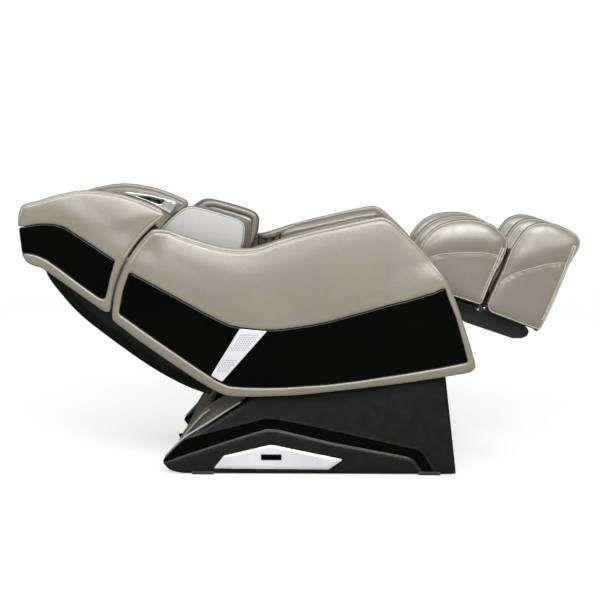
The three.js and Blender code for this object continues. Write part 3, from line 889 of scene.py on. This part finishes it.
def base_covers():
    for name, sign in SIDES.items():
        outline = rounded(cap_loop(f"base_cover_{name}"), 0.004)
        outline[:, 1] = np.maximum(outline[:, 1], COVER_LIFT)
        channel = rounded(COVER_CHANNEL, 0.0035, 0.005)
        rim = offset(channel, 0.0022)

        def drop(points, edge, hole, channel=channel, rim=rim):
            near = distance_to(points, channel)
            sunk = 0.0065 * (inside(points, channel) | (near < 0.0004))
            return sunk + roll(edge, 0.012, 0.006) + 0.004 * np.exp(-edge / 0.06)

        part(
            f"base_panel_{name}", "base", outline, sign * (COVER_FACE + 0.004), sign * COVER_IN, drop,
            flat_drop(), MATTE, rings=ROUND_RINGS, grid=0.02,
            marks=[channel, rim, offset(channel, 0.006), offset(channel, -0.003)],
            second=(channel, GLOSS), replaces=[f"base_cover_{name}"],
        )
        plate(name, sign)
        cover_trim(name, sign)


def cover_trim(name, sign):
    """Pale edge strip on the rear edge of a cover, and the lining between it and the rear skirt, darkened as
    painted shade.
    """
    edge = smooth_line([
        (-0.464, 0.057), (-0.405, 0.117), (-0.320, 0.172), (-0.238, 0.226), (-0.205, 0.246),
    ], 0.008)
    strip = [(x, sign * (COVER_IN + 0.001), z) for x, z in edge]
    cord(f"cover_trim_{name}", strip, 0.0036, TRIM, "base")
    lining = rounded([
        (-0.444, 0.066), (-0.424, 0.100), (-0.398, 0.146), (-0.346, 0.205), (-0.310, 0.236), (-0.262, 0.266),
        (-0.186, 0.262), (-0.200, 0.246), (-0.238, 0.218), (-0.320, 0.163), (-0.405, 0.108),
    ], 0.002, 0.006)
    face = sign * (COVER_IN - 0.006)

    def folds(points, edge, hole):
        across = points[:, 0] * 0.62 - points[:, 1] * 0.78
        return 0.006 + 0.0035 * np.sin(2 * math.pi * across / 0.052)

    part(
        f"skirt_lining_{name}", "base", lining, face, sign * (COVER_IN - 0.020), folds, flat_drop(),
        SHADED_LINING, rings=(0.002, 0.005), grid=0.008, fill=0.3,
    )


def plate(name, sign):
    """Bevelled silver plate with a blank dark plaque."""
    outline = rounded(cap_loop(f"base_plate_{name}"), 0.002, 0.005)
    face = COVER_FACE + 0.007

    def drop(points, edge, hole):
        return 0.006 * np.clip(1 - edge / 0.011, 0, 1)

    part(
        f"base_silver_{name}", "base", outline, sign * face, sign * (face - 0.018), drop, flat_drop(),
        SILVER, rings=(0.002, 0.006, 0.0105, 0.0115, 0.014), grid=0.03, replaces=[f"base_plate_{name}"],
    )
    centre, half = np.array([-0.1005, 0.0620]), np.array([0.0350, 0.0100])
    badge = rounded(rectangle(centre - half, centre + half), 0.0015, 0.003)
    part(
        f"base_plaque_{name}", "base", badge, sign * (face + 0.0022), sign * (face - 0.004),
        round_drop(0.002, 0.0012), flat_drop(), GLOSS, rings=(0.0006, 0.0015), grid=0.01,
    )


def base_feet():
    """Rubber pads under the ends of the covers."""
    for name, sign in SIDES.items():
        for end, (low, high) in {"rear": (-0.372, -0.296), "front": (0.398, 0.474)}.items():
            outline = rounded(rectangle((low, 0.0004), (high, 0.012)), 0.0015, 0.004)
            outline[:, 1] -= outline[:, 1].min()
            part(
                f"base_foot_{end}_{name}", "base", outline, sign * 0.3835, sign * 0.357,
                round_drop(0.002, 0.0015), round_drop(0.002, 0.0015), RUBBER, rings=(0.0006, 0.002),
                grid=0.01,
            )


APRON_HALF = 0.3540  # half width of the rear apron
APRON_PANEL = 0.177  # width of each of its four quilted panels
APRON_SUNK, APRON_BACK = 0.0030, 0.0090  # its seams and its back, in from the profile


def rear_skirt():
    """Leather apron over the rear of the base, quilted between sewn seams, with hems."""
    profile = smooth_line([
        (-0.443, 0.038), (-0.418, 0.100), (-0.393, 0.144), (-0.342, 0.202), (-0.318, 0.220),
    ], 0.007)
    across = np.linspace(-APRON_HALF, APRON_HALF, 142)
    outward = -sideways(profile)
    arch = np.abs(np.sin(math.pi * (across + 2 * APRON_PANEL) / APRON_PANEL)) ** 0.35
    height = np.linspace(0, 1, len(profile))
    crown = APRON_SUNK * np.sin(math.pi * np.clip(height, 0.03, 0.97)) ** 0.4
    rise = crown[:, None] * arch[None, :] - APRON_SUNK
    skin = profile[:, None, :] + outward[:, None, :] * rise[:, :, None]
    back = profile[:, None, :] - outward[:, None, :] * APRON_BACK + 0 * skin
    y = np.broadcast_to(across[None, :], rise.shape)
    top = np.stack([skin[:, :, 0], y, skin[:, :, 1]], axis=2)
    bottom = np.stack([back[:, :, 0], y, back[:, :, 1]], axis=2)
    place(closed_grid("rear_apron", top, bottom, TAUPE), "base", ["rear_skirt"])
    for label, end in (("top", -1), ("bottom", 0)):
        x, z = profile[end] - outward[end] * 0.0050
        cord(f"apron_hem_{label}", [(x, value, z) for value in across[::6]], 0.0050, TAUPE, "base")
    seam = profile - outward * 0.0026
    for number, value in enumerate((-APRON_PANEL, 0.0, APRON_PANEL)):
        cord(f"apron_seam_{number}", [(x, value, z) for x, z in seam], 0.0012, PIPING, "base")


INLET_CENTRE = (-0.4257, 0.081)  # (x, z) on the rear skirt
SKIRT_LEAN = math.atan2(0.025, 0.062)  # of the rear skirt, from upright
PIN_HALF = np.array([0.0012, 0.003])


def inlet_panel():
    """Mains inlet in the plane of the rear skirt: a socket and a pocket for the switch."""
    frame_line = rounded(rectangle((-0.235, -0.0205), (-0.125, 0.0205)), 0.003, 0.004)
    socket = rounded(rectangle((-0.223, -0.0105), (-0.193, 0.0105)), 0.002, 0.003)
    pocket = rounded(rectangle((-0.166, -0.0175), (-0.136, 0.0175)), 0.002, 0.003)
    surround = slab(
        "inlet_panel", frame_line, 0.0035, -0.0020, round_drop(0.003, 0.0016), flat_drop(), PLASTIC,
        holes=[socket, pocket], rings=(0.0006, 0.0015, 0.003), grid=0.012,
    )
    floors = [
        slab(
            f"inlet_{label}", offset(hole, 0.001), 0.0010, -0.0020, flat_drop(), flat_drop(), GLOSS,
            grid=0.01,
        )
        for label, hole in (("socket", socket), ("pocket", pocket))
    ]
    for number, spot in enumerate(((-0.214, -0.003), (-0.202, -0.003), (-0.208, 0.005))):
        pin = rounded(rectangle(spot - PIN_HALF, spot + PIN_HALF), 0.0006, 0.001)
        floors.append(slab(
            f"inlet_pin_{number}", pin, 0.0030, 0.0, round_drop(0.0008, 0.0006), flat_drop(), STEEL,
            rings=(0.0004,), grid=0.004,
        ))
    for piece in [surround] + floors:
        for vert in piece.data.vertices:
            across, out, up = vert.co
            x = INLET_CENTRE[0] + up * math.sin(SKIRT_LEAN) - out * math.cos(SKIRT_LEAN)
            z = INLET_CENTRE[1] + up * math.cos(SKIRT_LEAN) + out * math.sin(SKIRT_LEAN)
            vert.co = (x, across, z)
        place(piece, "base", ["power_inlet"] if piece is surround else ())


def base_parts():
    base_feet()
    inlet_panel()
    rear_skirt()


# ---------- structure and mechanism ----------
EASED = (  # material, width of the eased edges, segments, nodes
    (PAINT, 0.002, 2, ("base_side_frame_left", "base_side_frame_right")),
    (PAINT, 0.002, 2, ("base_crossbar_front", "base_crossbar_rear", "seat_side_left", "seat_side_right")),
    (RUBBER, 0.004, 3, ("transport_wheel_left", "transport_wheel_right", "foot_roller")),
    (MATTE, 0.004, 3, ("foot_bar_front", "foot_bar_rear", "front_panel")),
    (PLASTIC, 0.003, 3, ("control_box", "air_compressor")),
    (GLOSS, 0.001, 2, ("power_switch",)),
    (STEEL, 0.0006, 1, ("massage_track_left", "massage_track_right")),
    (RUBBER, 0.003, 3, ("massage_roller_left", "massage_roller_right")),
    (STEEL, 0.001, 2, ("tilt_shaft", "recline_shaft", "knead_unit", "tilt_actuator_rod")),
    (STEEL, 0.001, 2, ("leg_actuator_rod",)),
    (PAINT, 0.0015, 2, ("seat_crossbar_rear", "seat_pan", "leg_frame")),
    (MATTE, 0.0015, 2, ("tilt_actuator_body", "leg_actuator_body", "foot_frame")),
    (PLASTIC, 0.0015, 2, ("massage_carriage",)),
)


def mechanism():
    for material, width, segments, nodes in EASED:
        for node in nodes:
            bevelled(node, material, width, segments)


# ---------- back ----------
def back_shell():
    """Moulded shell: the CAD profile lofted across with rounded lower edges."""
    under = smooth_line([
        (-0.060, -0.289), (0.030, -0.308), (0.140, -0.317), (0.250, -0.315), (0.400, -0.305),
        (0.484, -0.293), (0.555, -0.273), (0.613, -0.252), (0.650, -0.230), (0.664, -0.205),
    ], 0.016)
    front = resample(np.array([(-0.060, -0.061), (-0.060, -0.275)]), 0.02, closed=False)
    half, corner, wall = 0.300, 0.045, 0.006
    bends = [(1 - math.cos(a), 1 - math.sin(a)) for a in np.linspace(0, math.pi / 2, 9)]
    sheets = []
    for layer in (0.0, wall):
        rows = []
        for s, t in np.vstack([front[:-1], under]):
            top = -0.133 if s > 0.556 else -0.0505 if s > 0.02 else -0.061
            depth = max(top - t - layer, 0.004)
            bend = min(corner, depth)
            edge = half - layer
            turn = [(edge - bend * across, top - depth + bend * up) for across, up in bends]
            row = [(-edge, top)] + [(-y, height) for y, height in turn] + [(0.0, top - depth)]
            row += turn[::-1] + [(edge, top)]
            spots = [(y, *back_point(s, height)) for y, height in row]
            rows.append([(x, y, z) for y, x, z in spots])
        sheets.append(np.array(rows))
    place(closed_grid("back_shell_cover", *sheets, SHELL), "backrest", ["back_shell"])


def channels(positions, depth, width, direction, origin):
    """Moves points in along their normals on evenly placed lines across a pad."""
    def change(co, normals):
        along = (co[:, 0] - origin[0]) * direction[0] + (co[:, 2] - origin[1]) * direction[1]
        sunk = sum(np.exp(-((along - p) / width) ** 2) for p in positions)
        return -normals * (depth * sunk)[:, None]
    return change


def back_pads():
    up = (-math.cos(BACK_ANGLE), math.sin(BACK_ANGLE))
    pad = soft_copy("back_cushion", "back_pad", GREY, 0.010, 6, pressure=3.0, cap=0.012)
    reshape(pad, channels((0.13, 0.25, 0.37, 0.46), 0.008, 0.007, up, RECLINE))
    place(pad, "backrest", ["back_pad"])
    pillow = soft_copy("neck_pillow", "head_pillow", GREY, 0.008, 8, pressure=3.0, cap=0.014)
    reshape(pillow, channels((0.625, 0.69), 0.006, 0.006, up, RECLINE))
    place(pillow, "backrest", ["head_pillow"])
    for name in SIDES:
        bolster = soft_copy(
            f"bolster_{name}", f"back_bolster_{name}", TAUPE, 0.010, 8, pressure=2.0, cap=0.006,
        )
        place(bolster, "backrest", [f"back_bolster_{name}"])


def hood():
    """Head end: a gloss band between two upholstered rolls, between the wings."""
    half = SHELL_IN + 0.030
    rolls = {
        "hood_top": [(-0.931, 0.851), (-0.926, 0.905), (-0.910, 0.922), (-0.875, 0.929), (-0.862, 0.915),
                     (-0.875, 0.870), (-0.890, 0.851)],
        "hood_bottom": [(-0.868, 0.715), (-0.902, 0.726), (-0.920, 0.753), (-0.880, 0.753), (-0.850, 0.735)],
    }
    for name, points in rolls.items():
        outline = rounded(points, 0.007)
        part(
            name, "backrest", outline, -(SHELL_IN - 0.002), SHELL_IN - 0.002, round_drop(0.008, 0.006),
            round_drop(0.008, 0.006), TAUPE, rings=ROUND_RINGS, grid=0.02, fill=0.9,
        )
    band = rounded([(-0.935, 0.843), (-0.925, 0.762), (-0.900, 0.762), (-0.905, 0.843)], 0.003)
    part(
        "hood_band", "backrest", band, -half + 0.004, half - 0.004, round_drop(0.006, 0.006),
        round_drop(0.006, 0.006), GLOSS, rings=ROUND_RINGS, grid=0.02, replaces=["head_hood"],
    )
    lining = rounded([
        (-0.903, 0.843), (-0.896, 0.762), (-0.850, 0.742), (-0.845, 0.80), (-0.872, 0.862),
    ], 0.006)
    part(
        "hood_lining", "backrest", lining, -(SHELL_IN - 0.004), SHELL_IN - 0.004,
        round_drop(0.008, 0.006), round_drop(0.008, 0.006), TAUPE, rings=ROUND_RINGS, grid=0.02,
        fill=0.6,
    )


def shoulder_pods():
    """Each pod: a smooth outer plate over stacked airbag folds, and a framed inner pad."""
    layers = [
        ("plate", 0.350, 0.322, 0.990, (0.000, 0.002), 0.009),
        ("fold_a", 0.319, 0.303, 0.985, (0.007, 0.003), 0.007),
        ("fold_b", 0.301, 0.285, 0.985, (0.013, 0.003), 0.007),
        ("fold_c", 0.283, 0.267, 0.980, (0.018, 0.003), 0.007),
    ]
    for name, sign in SIDES.items():
        base = rounded(cap_loop(f"shoulder_pod_{name}"), 0.012)
        anchor = base[np.argmin(base[:, 1])]
        for layer, outer, inner, scale, lift, edge in layers:
            outline = anchor + (base - anchor) * scale + np.array(lift)
            piece = part(
                f"pod_{layer}_{name}", "backrest", outline, sign * outer, sign * inner,
                round_drop(edge, edge * 0.75, 0.003, 0.05), round_drop(edge, edge * 0.75, 0.003, 0.05),
                GREY if layer == "plate" else TAUPE, rings=ROUND_RINGS, grid=0.016,
                replaces=[f"shoulder_pod_{name}"] if layer == "plate" else (), fill=0.8,
            )
            # A dark cord in the valley under each layer: painted shade in the crease.
            valley = offset(outline, 0.0006)
            depth = np.full(len(valley), sign * (inner - 0.001))
            crease = np.stack([valley[:, 0], depth, valley[:, 1]], axis=1)
            cord(f"pod_crease_{layer}_{name}", crease, 0.0016, SHADED_LINING, "backrest", closed=True)
            if layer == "plate":
                rim = offset(outline, -0.0055)
                piping(f"pod_edge_{name}", piece, rim, sign * OUTSIDE, 0.0014, TAUPE, "backrest", closed=True)
        ring = anchor + (base - anchor) * 0.980 + np.array([0.016, 0.003])
        opening = offset(ring, -0.021)
        part(
            f"pod_frame_{name}", "backrest", ring, sign * 0.265, sign * 0.240, flat_drop(0.003),
            round_drop(0.010, 0.008), TAUPE, holes=[opening],
            rings=(0.0006, 0.0025, 0.0055, 0.009, 0.0115), grid=0.014, fill=0.8,
        )
        part(
            f"pod_pad_{name}", "backrest", offset(opening, -0.0025), sign * 0.262, sign * 0.248,
            flat_drop(), pod_folds, GREY, rings=ROUND_RINGS, grid=0.007, fill=0.6,
        )


def pod_folds(points, edge, hole):
    """Inner face of a pod: soft sewn ridges that run along it."""
    along = points[:, 0] * 0.30 + points[:, 1] * 0.954
    ridges = 0.0035 * np.abs(np.sin(math.pi * along / 0.034)) ** 0.7
    return roll(edge, 0.012, 0.009) + 0.0035 - ridges


# ---------- seat and arm pads ----------
def seat():
    along = (math.cos(math.radians(17)), math.sin(math.radians(17)))
    pad = soft_copy("seat_pad", "seat_cushion", TAUPE, 0.010, 8, pressure=3.0, cap=0.012)
    reshape(pad, channels((0.10, 0.22, 0.34, 0.46), 0.008, 0.007, along, (-0.13, 0.50)))
    place(pad, "carriage", ["seat_cushion"])


def arm_pads():
    slit = smooth_line([(-0.090, 0.762), (0.060, 0.800), (0.200, 0.832), (0.300, 0.842)])
    for name, sign in SIDES.items():
        pad = soft_copy(f"arm_cushion_{name}", f"arm_pad_{name}", TAUPE, 0.008, 9, pressure=1.5, cap=0.005)

        def change(co, normals):
            near = distance_to(co[:, [0, 2]], slit, closed=False)
            facing = np.clip(-normals[:, 1] * sign, 0, 1)
            return -normals * (0.010 * np.exp(-((near / 0.006) ** 2)) * facing)[:, None]

        reshape(pad, change)
        place(pad, "carriage", [f"arm_pad_{name}"])
        gather(name, sign)
        side_lining(name, sign)


def side_lining(name, sign):
    """Lining that closes the space between the seat and an arm, beside the hips, darkened as painted shade of
    that space.
    """
    outline = rounded([
        (-0.262, 0.556), (-0.150, 0.562), (-0.015, 0.596), (-0.015, 0.584), (-0.150, 0.550), (-0.262, 0.544),
    ], 0.002, 0.008)
    part(
        f"side_lining_{name}", "carriage", outline, sign * 0.3885, sign * 0.3160, flat_drop(),
        flat_drop(), SHADED_LINING, rings=(0.002,), grid=0.012, fill=0.3,
    )


GATHER_REAR, GATHER_LENGTH = -0.196, 0.098  # x of its rear edge, and its reach forwards
GATHER_TOP, GATHER_HEIGHT = 0.764, 0.17
GATHER_FACE, GATHER_BACK = 0.367, 0.3895  # mean |y| of the folds, and |y| of the back


def gather(name, sign):
    """Folded lining behind an arm cushion, in leather darkened as painted shade of its folds, and the
    cushion's tapered rear end over it.
    """
    u, v = np.meshgrid(np.linspace(0, 1, 26), np.linspace(0, 1, 56), indexing="ij")
    x = GATHER_REAR + GATHER_LENGTH * v
    z = GATHER_TOP + 0.026 * v - GATHER_HEIGHT * u
    fan = 2 * math.pi * (2.6 * v + 1.7 * u * v)
    wave = np.sin(fan) + 0.45 * np.sin(2.3 * fan - 2.0 * u + 1.0)
    depth = 0.009 * wave * (1 - 0.5 * u) * np.sin(math.pi * np.clip(v, 0.02, 0.98)) ** 0.4
    depth = GATHER_FACE + depth
    top = np.stack([x, sign * depth, z], axis=2)
    bottom = np.stack([x, sign * np.full_like(x, GATHER_BACK), z], axis=2)
    place(closed_grid(f"arm_gather_{name}", top, bottom, SHADED_LINING), "carriage")
    tail = rounded([
        (-0.178, 0.764), (-0.160, 0.776), (-0.119, 0.787), (-0.084, 0.799), (-0.030, 0.816),
        (-0.030, 0.790), (-0.084, 0.774), (-0.119, 0.757), (-0.155, 0.753),
    ], 0.008)
    part(
        f"arm_tail_{name}", "carriage", tail, sign * 0.3885, sign * 0.3535, round_drop(0.012, 0.010),
        round_drop(0.012, 0.010), TAUPE, rings=ROUND_RINGS, grid=0.010, fill=0.7,
    )


def lumbar_apron():
    """Leather that closes the gap between seat and backrest, over the recline shaft."""
    line = smooth_line([
        (-0.125, 0.530), (-0.150, 0.540), (-0.180, 0.5455), (-0.212, 0.5475), (-0.250, 0.552),
    ], 0.004)
    across = np.linspace(-0.276, 0.276, 60)
    ripple = 0.0012 * np.sin(across * 2 * math.pi / 0.09)
    top = np.array([[(x, y, z + r) for y, r in zip(across, ripple)] for x, z in line])
    bottom = np.array([[(x, y, z - 0.004 + r) for y, r in zip(across, ripple)] for x, z in line])
    apron = closed_grid("lumbar_apron", top, bottom, TAUPE)
    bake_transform(apron)


def head_lining():
    """Padded lining round the head pillow, rising to the wings."""
    s, y = np.meshgrid(np.linspace(0.560, 0.756, 30), np.linspace(-0.3895, 0.3895, 90), indexing="ij")
    side = ease(np.abs(y), 0.215, 0.37)
    tufts = 0.004 * np.abs(np.sin(math.pi * (s - 0.560) / 0.049)) ** 0.6
    t = -0.1300 + 0.045 * side + tufts
    thick = 0.008 + 0.010 * side
    x = RECLINE[0] - s * math.cos(BACK_ANGLE) + t * math.sin(BACK_ANGLE)
    z = RECLINE[1] + s * math.sin(BACK_ANGLE) + t * math.cos(BACK_ANGLE)
    top = np.stack([x, y, z], axis=2)
    down = np.stack([thick * math.sin(BACK_ANGLE), 0 * y, thick * math.cos(BACK_ANGLE)], axis=2)
    place(closed_grid("head_lining", top, top - down, TAUPE), "backrest")


# ---------- leg rest ----------
def leg_measures(outline):
    """Distance of each point from the knee, along the shins and out of the front."""
    return (outline - KNEE) @ TOES, (outline - KNEE) @ FRONT


def leg_grown(outline, start, amount, side=1):
    """The outline with the part past start (before it, if side is -1) moved towards the toes."""
    along = leg_measures(outline)[0]
    move = amount * np.clip(side * (along - start) / 0.03, 0, 1)
    return outline + move[:, None] * TOES


def deeper(outline, near, far):
    """The foot outline with its lower edge moved down, more towards the toes."""
    along, height = leg_measures(outline)
    amount = near + (far - near) * np.clip((along - 0.22) / 0.19, 0, 1)
    move = amount * np.clip((0.10 - height) / 0.09, 0, 1)
    toes = 0.009 * np.clip((0.16 - height) / 0.10, 0, 1) * np.clip((along - 0.36) / 0.03, 0, 1)
    return outline - move[:, None] * FRONT + toes[:, None] * TOES


def fuller(outline, level, amount):
    """The outline swelled outwards over the part above a level."""
    grown = offset(outline, amount)
    share = np.clip((outline[:, 1] - level) / 0.06, 0, 1)[:, None]
    return outline + (grown - outline) * share


WELL_REACH, WALL_REACH = 0.105, 0.270  # how far out of the front the end covers reach; they are partly painted shade of the gap


def end_boot_and_shade(name, outline, direction, body):
    """Black covers on a leg unit's end, by the gap, partly black fabric and partly painted shade of the deep
    gap: low in the wells, high on the walls.
    """
    ahead = np.roll(outline, -1, axis=0) - np.roll(outline, 1, axis=0)
    ahead /= np.linalg.norm(ahead, axis=1)[:, None]
    facing = ahead @ FRONT
    height = leg_measures(outline)[1]
    wall = (LEG_HALF - WALL + 0.008, LEG_HALF - 0.022)
    spans = {
        "wells": (-LEG_HALF + WALL / 2, LEG_HALF - WALL / 2, WELL_REACH),
        "divider": (-DIVIDER + 0.008, DIVIDER - 0.008, WALL_REACH),
        "left": (*wall, WALL_REACH),
        "right": (-wall[1], -wall[0], WALL_REACH),
    }
    for label, (low, high, reach) in spans.items():
        chosen = (facing * direction > 0.62) & (height < reach)
        shift = int(np.flatnonzero(~chosen)[0])
        run = np.roll(outline, -shift, axis=0)[np.roll(chosen, -shift)]
        run = run[4:-4]
        proud = 0.006 if label == "wells" else 0.0052
        band = np.vstack([run + proud * sideways(run), (run - 0.012 * sideways(run))[::-1]])
        part(
            f"{name}_{label}", body, rounded(band, 0.002, 0.005), low, high, round_drop(0.004, 0.003),
            round_drop(0.004, 0.003), SHELL, rings=(0.0006, 0.002, 0.004), grid=0.02,
        )


def above(points, line):
    """Height of points over a line that runs along x, carried on level past its ends."""
    return points[:, 1] - np.interp(points[:, 0], line[:, 0], line[:, 1])


def wall_drop(seam):
    """Side of a leg wall: a full pillow above the sewn seam, a flatter panel below it."""
    def drop(points, edge, hole):
        over = above(points, seam)
        upper = np.clip(over / (0.02 + 0.10 * np.exp(-edge / 0.018)) + 0.5, 0, 1)
        pillow = 0.019 * np.exp(-edge / 0.022) + roll(edge, 0.012, 0.006)
        lower = 0.008 * np.exp(-edge / 0.016) + roll(edge, 0.010, 0.005)
        swell = 0.005 * np.exp(-((over - 0.045) / 0.04) ** 2)
        sewn = groove(over, 0.0, 0.0035, 0.0040)
        return upper * pillow + (1 - upper) * lower + 0.006 - swell + sewn
    return drop


LEG_RINGS = (0.0006, 0.0025, 0.0055, 0.009, 0.013, 0.018, 0.024, 0.032)


def leg_wall(name, outline, outer, inner, body, seam, replaces=()):
    """One padded upright wall, crowned on both sides."""
    return part(
        name, body, outline, outer, inner, wall_drop(seam), wall_drop(seam), TAUPE,
        rings=LEG_RINGS, grid=0.011, replaces=replaces, fill=0.85,
    )


def leg_unit(unit, body, outline, node, seam, strip, bed):
    """A pair of padded wells: two outer walls, a middle wall and the beds between."""
    line = smooth_line(seam, 0.006)
    crest = offset(outline, -0.0045)
    sewn = line[inside(line, offset(outline, -0.007))]
    for name, sign in SIDES.items():
        outer, inner = sign * (LEG_HALF + 0.004), sign * (LEG_HALF - WALL)
        wall = leg_wall(f"{unit}_wall_{name}", outline, outer, inner, body, line, [node] if sign > 0 else ())
        piping(f"{unit}_seam_{name}", wall, sewn, sign * OUTSIDE, 0.0013, PIPING, body, stitch=(0, -0.005))
        piping(f"{unit}_edge_{name}", wall, crest, sign * OUTSIDE, 0.0017, PIPING, body, closed=True)
        piping(f"{unit}_crest_{name}", wall, crest, sign * IN_WELL, 0.0017, PIPING, body, closed=True)
        zip_strip(f"{unit}_zip_{name}", wall, strip, sign, body)
    middle = leg_wall(f"{unit}_divider", outline, DIVIDER + 0.004, -DIVIDER - 0.004, body, line)
    for name, sign in SIDES.items():
        piping(f"{unit}_ridge_{name}", middle, crest, sign * IN_WELL, 0.0017, PIPING, body, closed=True)
        part(
            f"{unit}_bed_{name}", body, rounded([leg_point(*p) for p in bed], 0.008),
            sign * (DIVIDER + 0.001), sign * (LEG_HALF - WALL - 0.001), round_drop(0.016, 0.012),
            round_drop(0.016, 0.012), TAUPE, rings=ROUND_RINGS, grid=0.014, fill=0.8,
        )


def zip_strip(name, wall, points, sign, body):
    """Folded lip down the far edge of a leg wall, over a bright zip."""
    line = smooth_line(points, 0.006)
    inward = sideways(line)
    for label, shift, radius in (("lip", 0.0, 0.0030), ("fold", 0.0085, 0.0018)):
        laid = on_face(wall, line + inward * shift, sign * OUTSIDE, radius * 0.15)
        cord(f"{name}_{label}", laid, radius, PIPING, body)
    teeth = on_face(wall, line + inward * 0.0050, sign * OUTSIDE, 0.0002)
    place(stitches(f"{name}_teeth", teeth, CHROME, 0.0022, 0.0018, 0.0010), body)


def leg_bracket(name, sign):
    """Small dark bracket with two bright bolts, where the leg units meet."""
    outline = rounded([
        (0.594, 0.561), (0.603, 0.563), (0.606, 0.573), (0.614, 0.573), (0.615, 0.565), (0.631, 0.568),
        (0.630, 0.557), (0.618, 0.556), (0.616, 0.546), (0.606, 0.546), (0.605, 0.553), (0.596, 0.552),
    ], 0.001, 0.002)
    part(
        f"leg_bracket_{name}", "leg_rest", outline, sign * 0.2965, sign * 0.2900,
        round_drop(0.0015, 0.001), flat_drop(), PAINT, rings=(0.0008, 0.0016), grid=0.008,
    )
    angles = np.linspace(0, 2 * math.pi, 20, endpoint=False)
    for number, (x, z) in enumerate(((0.602, 0.557), (0.623, 0.562))):
        ring = np.stack([x + 0.0036 * np.cos(angles), z + 0.0036 * np.sin(angles)], axis=1)
        part(
            f"bracket_bolt_{name}_{number}", "leg_rest", ring, sign * 0.2990, sign * 0.2950,
            round_drop(0.0012, 0.0008), flat_drop(), CHROME, rings=(0.0006, 0.0012), grid=0.004,
        )


def leg_rest():
    for name, sign in SIDES.items():
        leg_bracket(name, sign)
    calf = fuller(leg_grown(rounded(cap_loop("calf_pad"), 0.008), 0.155, 0.009), 0.66, 0.009)
    end_boot_and_shade("calf_boot_and_shade", calf, 1, "leg_rest")
    leg_unit(
        "calf", "leg_rest", calf, "calf_pad",
        [(0.380, 0.712), (0.441, 0.735), (0.482, 0.746), (0.553, 0.751), (0.625, 0.749), (0.700, 0.735)],
        [(0.690, 0.766), (0.675, 0.729), (0.657, 0.684), (0.633, 0.626), (0.620, 0.592)],
        [(-0.030, 0.028), (-0.028, 0.095), (0.060, 0.085), (0.190, 0.095), (0.188, 0.028)],
    )
    foot = rounded(cap_loop("foot_pad"), 0.008)
    foot = deeper(leg_grown(leg_grown(foot, 0.385, 0.013), 0.270, 0.010, -1), 0.003, 0.013)
    foot = fuller(foot, 0.70, 0.006)
    end_boot_and_shade("foot_boot_and_shade", foot, -1, "foot_rest")
    leg_unit(
        "foot", "foot_rest", foot, "foot_pad",
        [(0.655, 0.634), (0.710, 0.671), (0.745, 0.686), (0.816, 0.707), (0.863, 0.715), (0.935, 0.715)],
        [(0.933, 0.774), (0.903, 0.691), (0.873, 0.615), (0.847, 0.552), (0.831, 0.517)],
        [(0.218, 0.020), (0.220, 0.078), (0.360, 0.076), (0.380, 0.296), (0.414, 0.325), (0.402, 0.020)],
    )


# ---------- light and floor ----------
LAMPS = {  # place, target, size and power in watts
    "key_right": ((1.0, -3.7, 3.1), (-0.1, 0.0, 0.6), (2.4, 1.2), 98),
    "high_front": ((-1.3, -3.0, 3.6), (-0.2, 0.0, 0.5), (2.6, 1.1), 72),
    "low_front": ((0.45, -4.3, 1.9), (0.0, 0.0, 0.6), (2.4, 0.5), 26),
    "overhead": ((0.0, -0.7, 3.9), (0.0, 0.0, 0.5), (3.6, 0.8), 8),
}


def lamp(name, location, target, size, power):
    data = bpy.data.lights.new(name, "AREA")
    data.energy = power
    data.shape = "RECTANGLE"
    data.size, data.size_y = size
    obj = link(name, data)
    obj.location = location
    obj.rotation_euler = (Vector(target) - Vector(location)).to_track_quat("-Z", "Y").to_euler()


def world_light():
    """Surroundings that gloss reflects: bright high up, fading to dark at and below the horizon."""
    world = bpy.data.worlds.new("studio")
    bpy.context.scene.world = world
    world.use_nodes = True
    nodes, links = world.node_tree.nodes, world.node_tree.links
    shade = nodes["Background"]
    place_in = nodes.new("ShaderNodeTexCoord")
    split = nodes.new("ShaderNodeSeparateXYZ")
    links.new(place_in.outputs["Generated"], split.inputs["Vector"])
    ramp = nodes.new("ShaderNodeMapRange")
    ramp.inputs["From Min"].default_value = 0.20
    ramp.inputs["From Max"].default_value = 0.90
    ramp.inputs["To Min"].default_value = 0.004
    ramp.inputs["To Max"].default_value = 0.37
    links.new(split.outputs["Z"], ramp.inputs["Value"])
    shade.inputs["Color"].default_value = (1, 1, 1, 1)
    links.new(ramp.outputs["Result"], shade.inputs["Strength"])


def studio_shell():
    """Pale floor that curves up into a round wall and a ceiling."""
    ring = 96
    profile = smooth_line([
        (0.0, 0.0), (6.5, 0.0), (8.4, 0.25), (9.4, 1.3), (9.6, 3.0), (9.0, 6.0), (6.0, 8.2),
    ], 0.5)
    verts, faces = [(0.0, 0.0, 0.0)], []
    for r, z in profile[1:]:
        for k in range(ring):
            angle = 2 * math.pi * k / ring
            verts.append((r * math.cos(angle), r * math.sin(angle), max(z, 0.0)))
    faces += [(0, 1 + k, 1 + (k + 1) % ring) for k in range(ring)]
    for i in range(len(profile) - 2):
        for k in range(ring):
            a, b = 1 + i * ring + k, 1 + i * ring + (k + 1) % ring
            faces.append((a, b, b + ring, a + ring))
    f = Finish("paper")
    shade = f.mix(f.spread(f.noise(0.8), 0.0, 1.0), (0.50, 0.50, 0.50, 1), (0.47, 0.47, 0.47, 1))
    f.set(Base_Color=shade, Roughness=0.95, Specular_IOR_Level=0.0)
    f.set(Emission_Color=(1, 1, 1, 1), Emission_Strength=0.55)
    floor = to_object("floor", verts, faces, f.material)
    floor.visible_glossy = False


def studio():
    world_light()
    studio_shell()
    bpy.context.scene.view_settings.view_transform = "Standard"
    for name, setting in LAMPS.items():
        lamp(name, *setting)


# ---------- build ----------
camera()
arm_panels()
wing_panels()
base_covers()
base_parts()
mechanism()
back_shell()
back_pads()
hood()
shoulder_pods()
head_lining()
seat()
lumbar_apron()
arm_pads()
leg_rest()
studio()
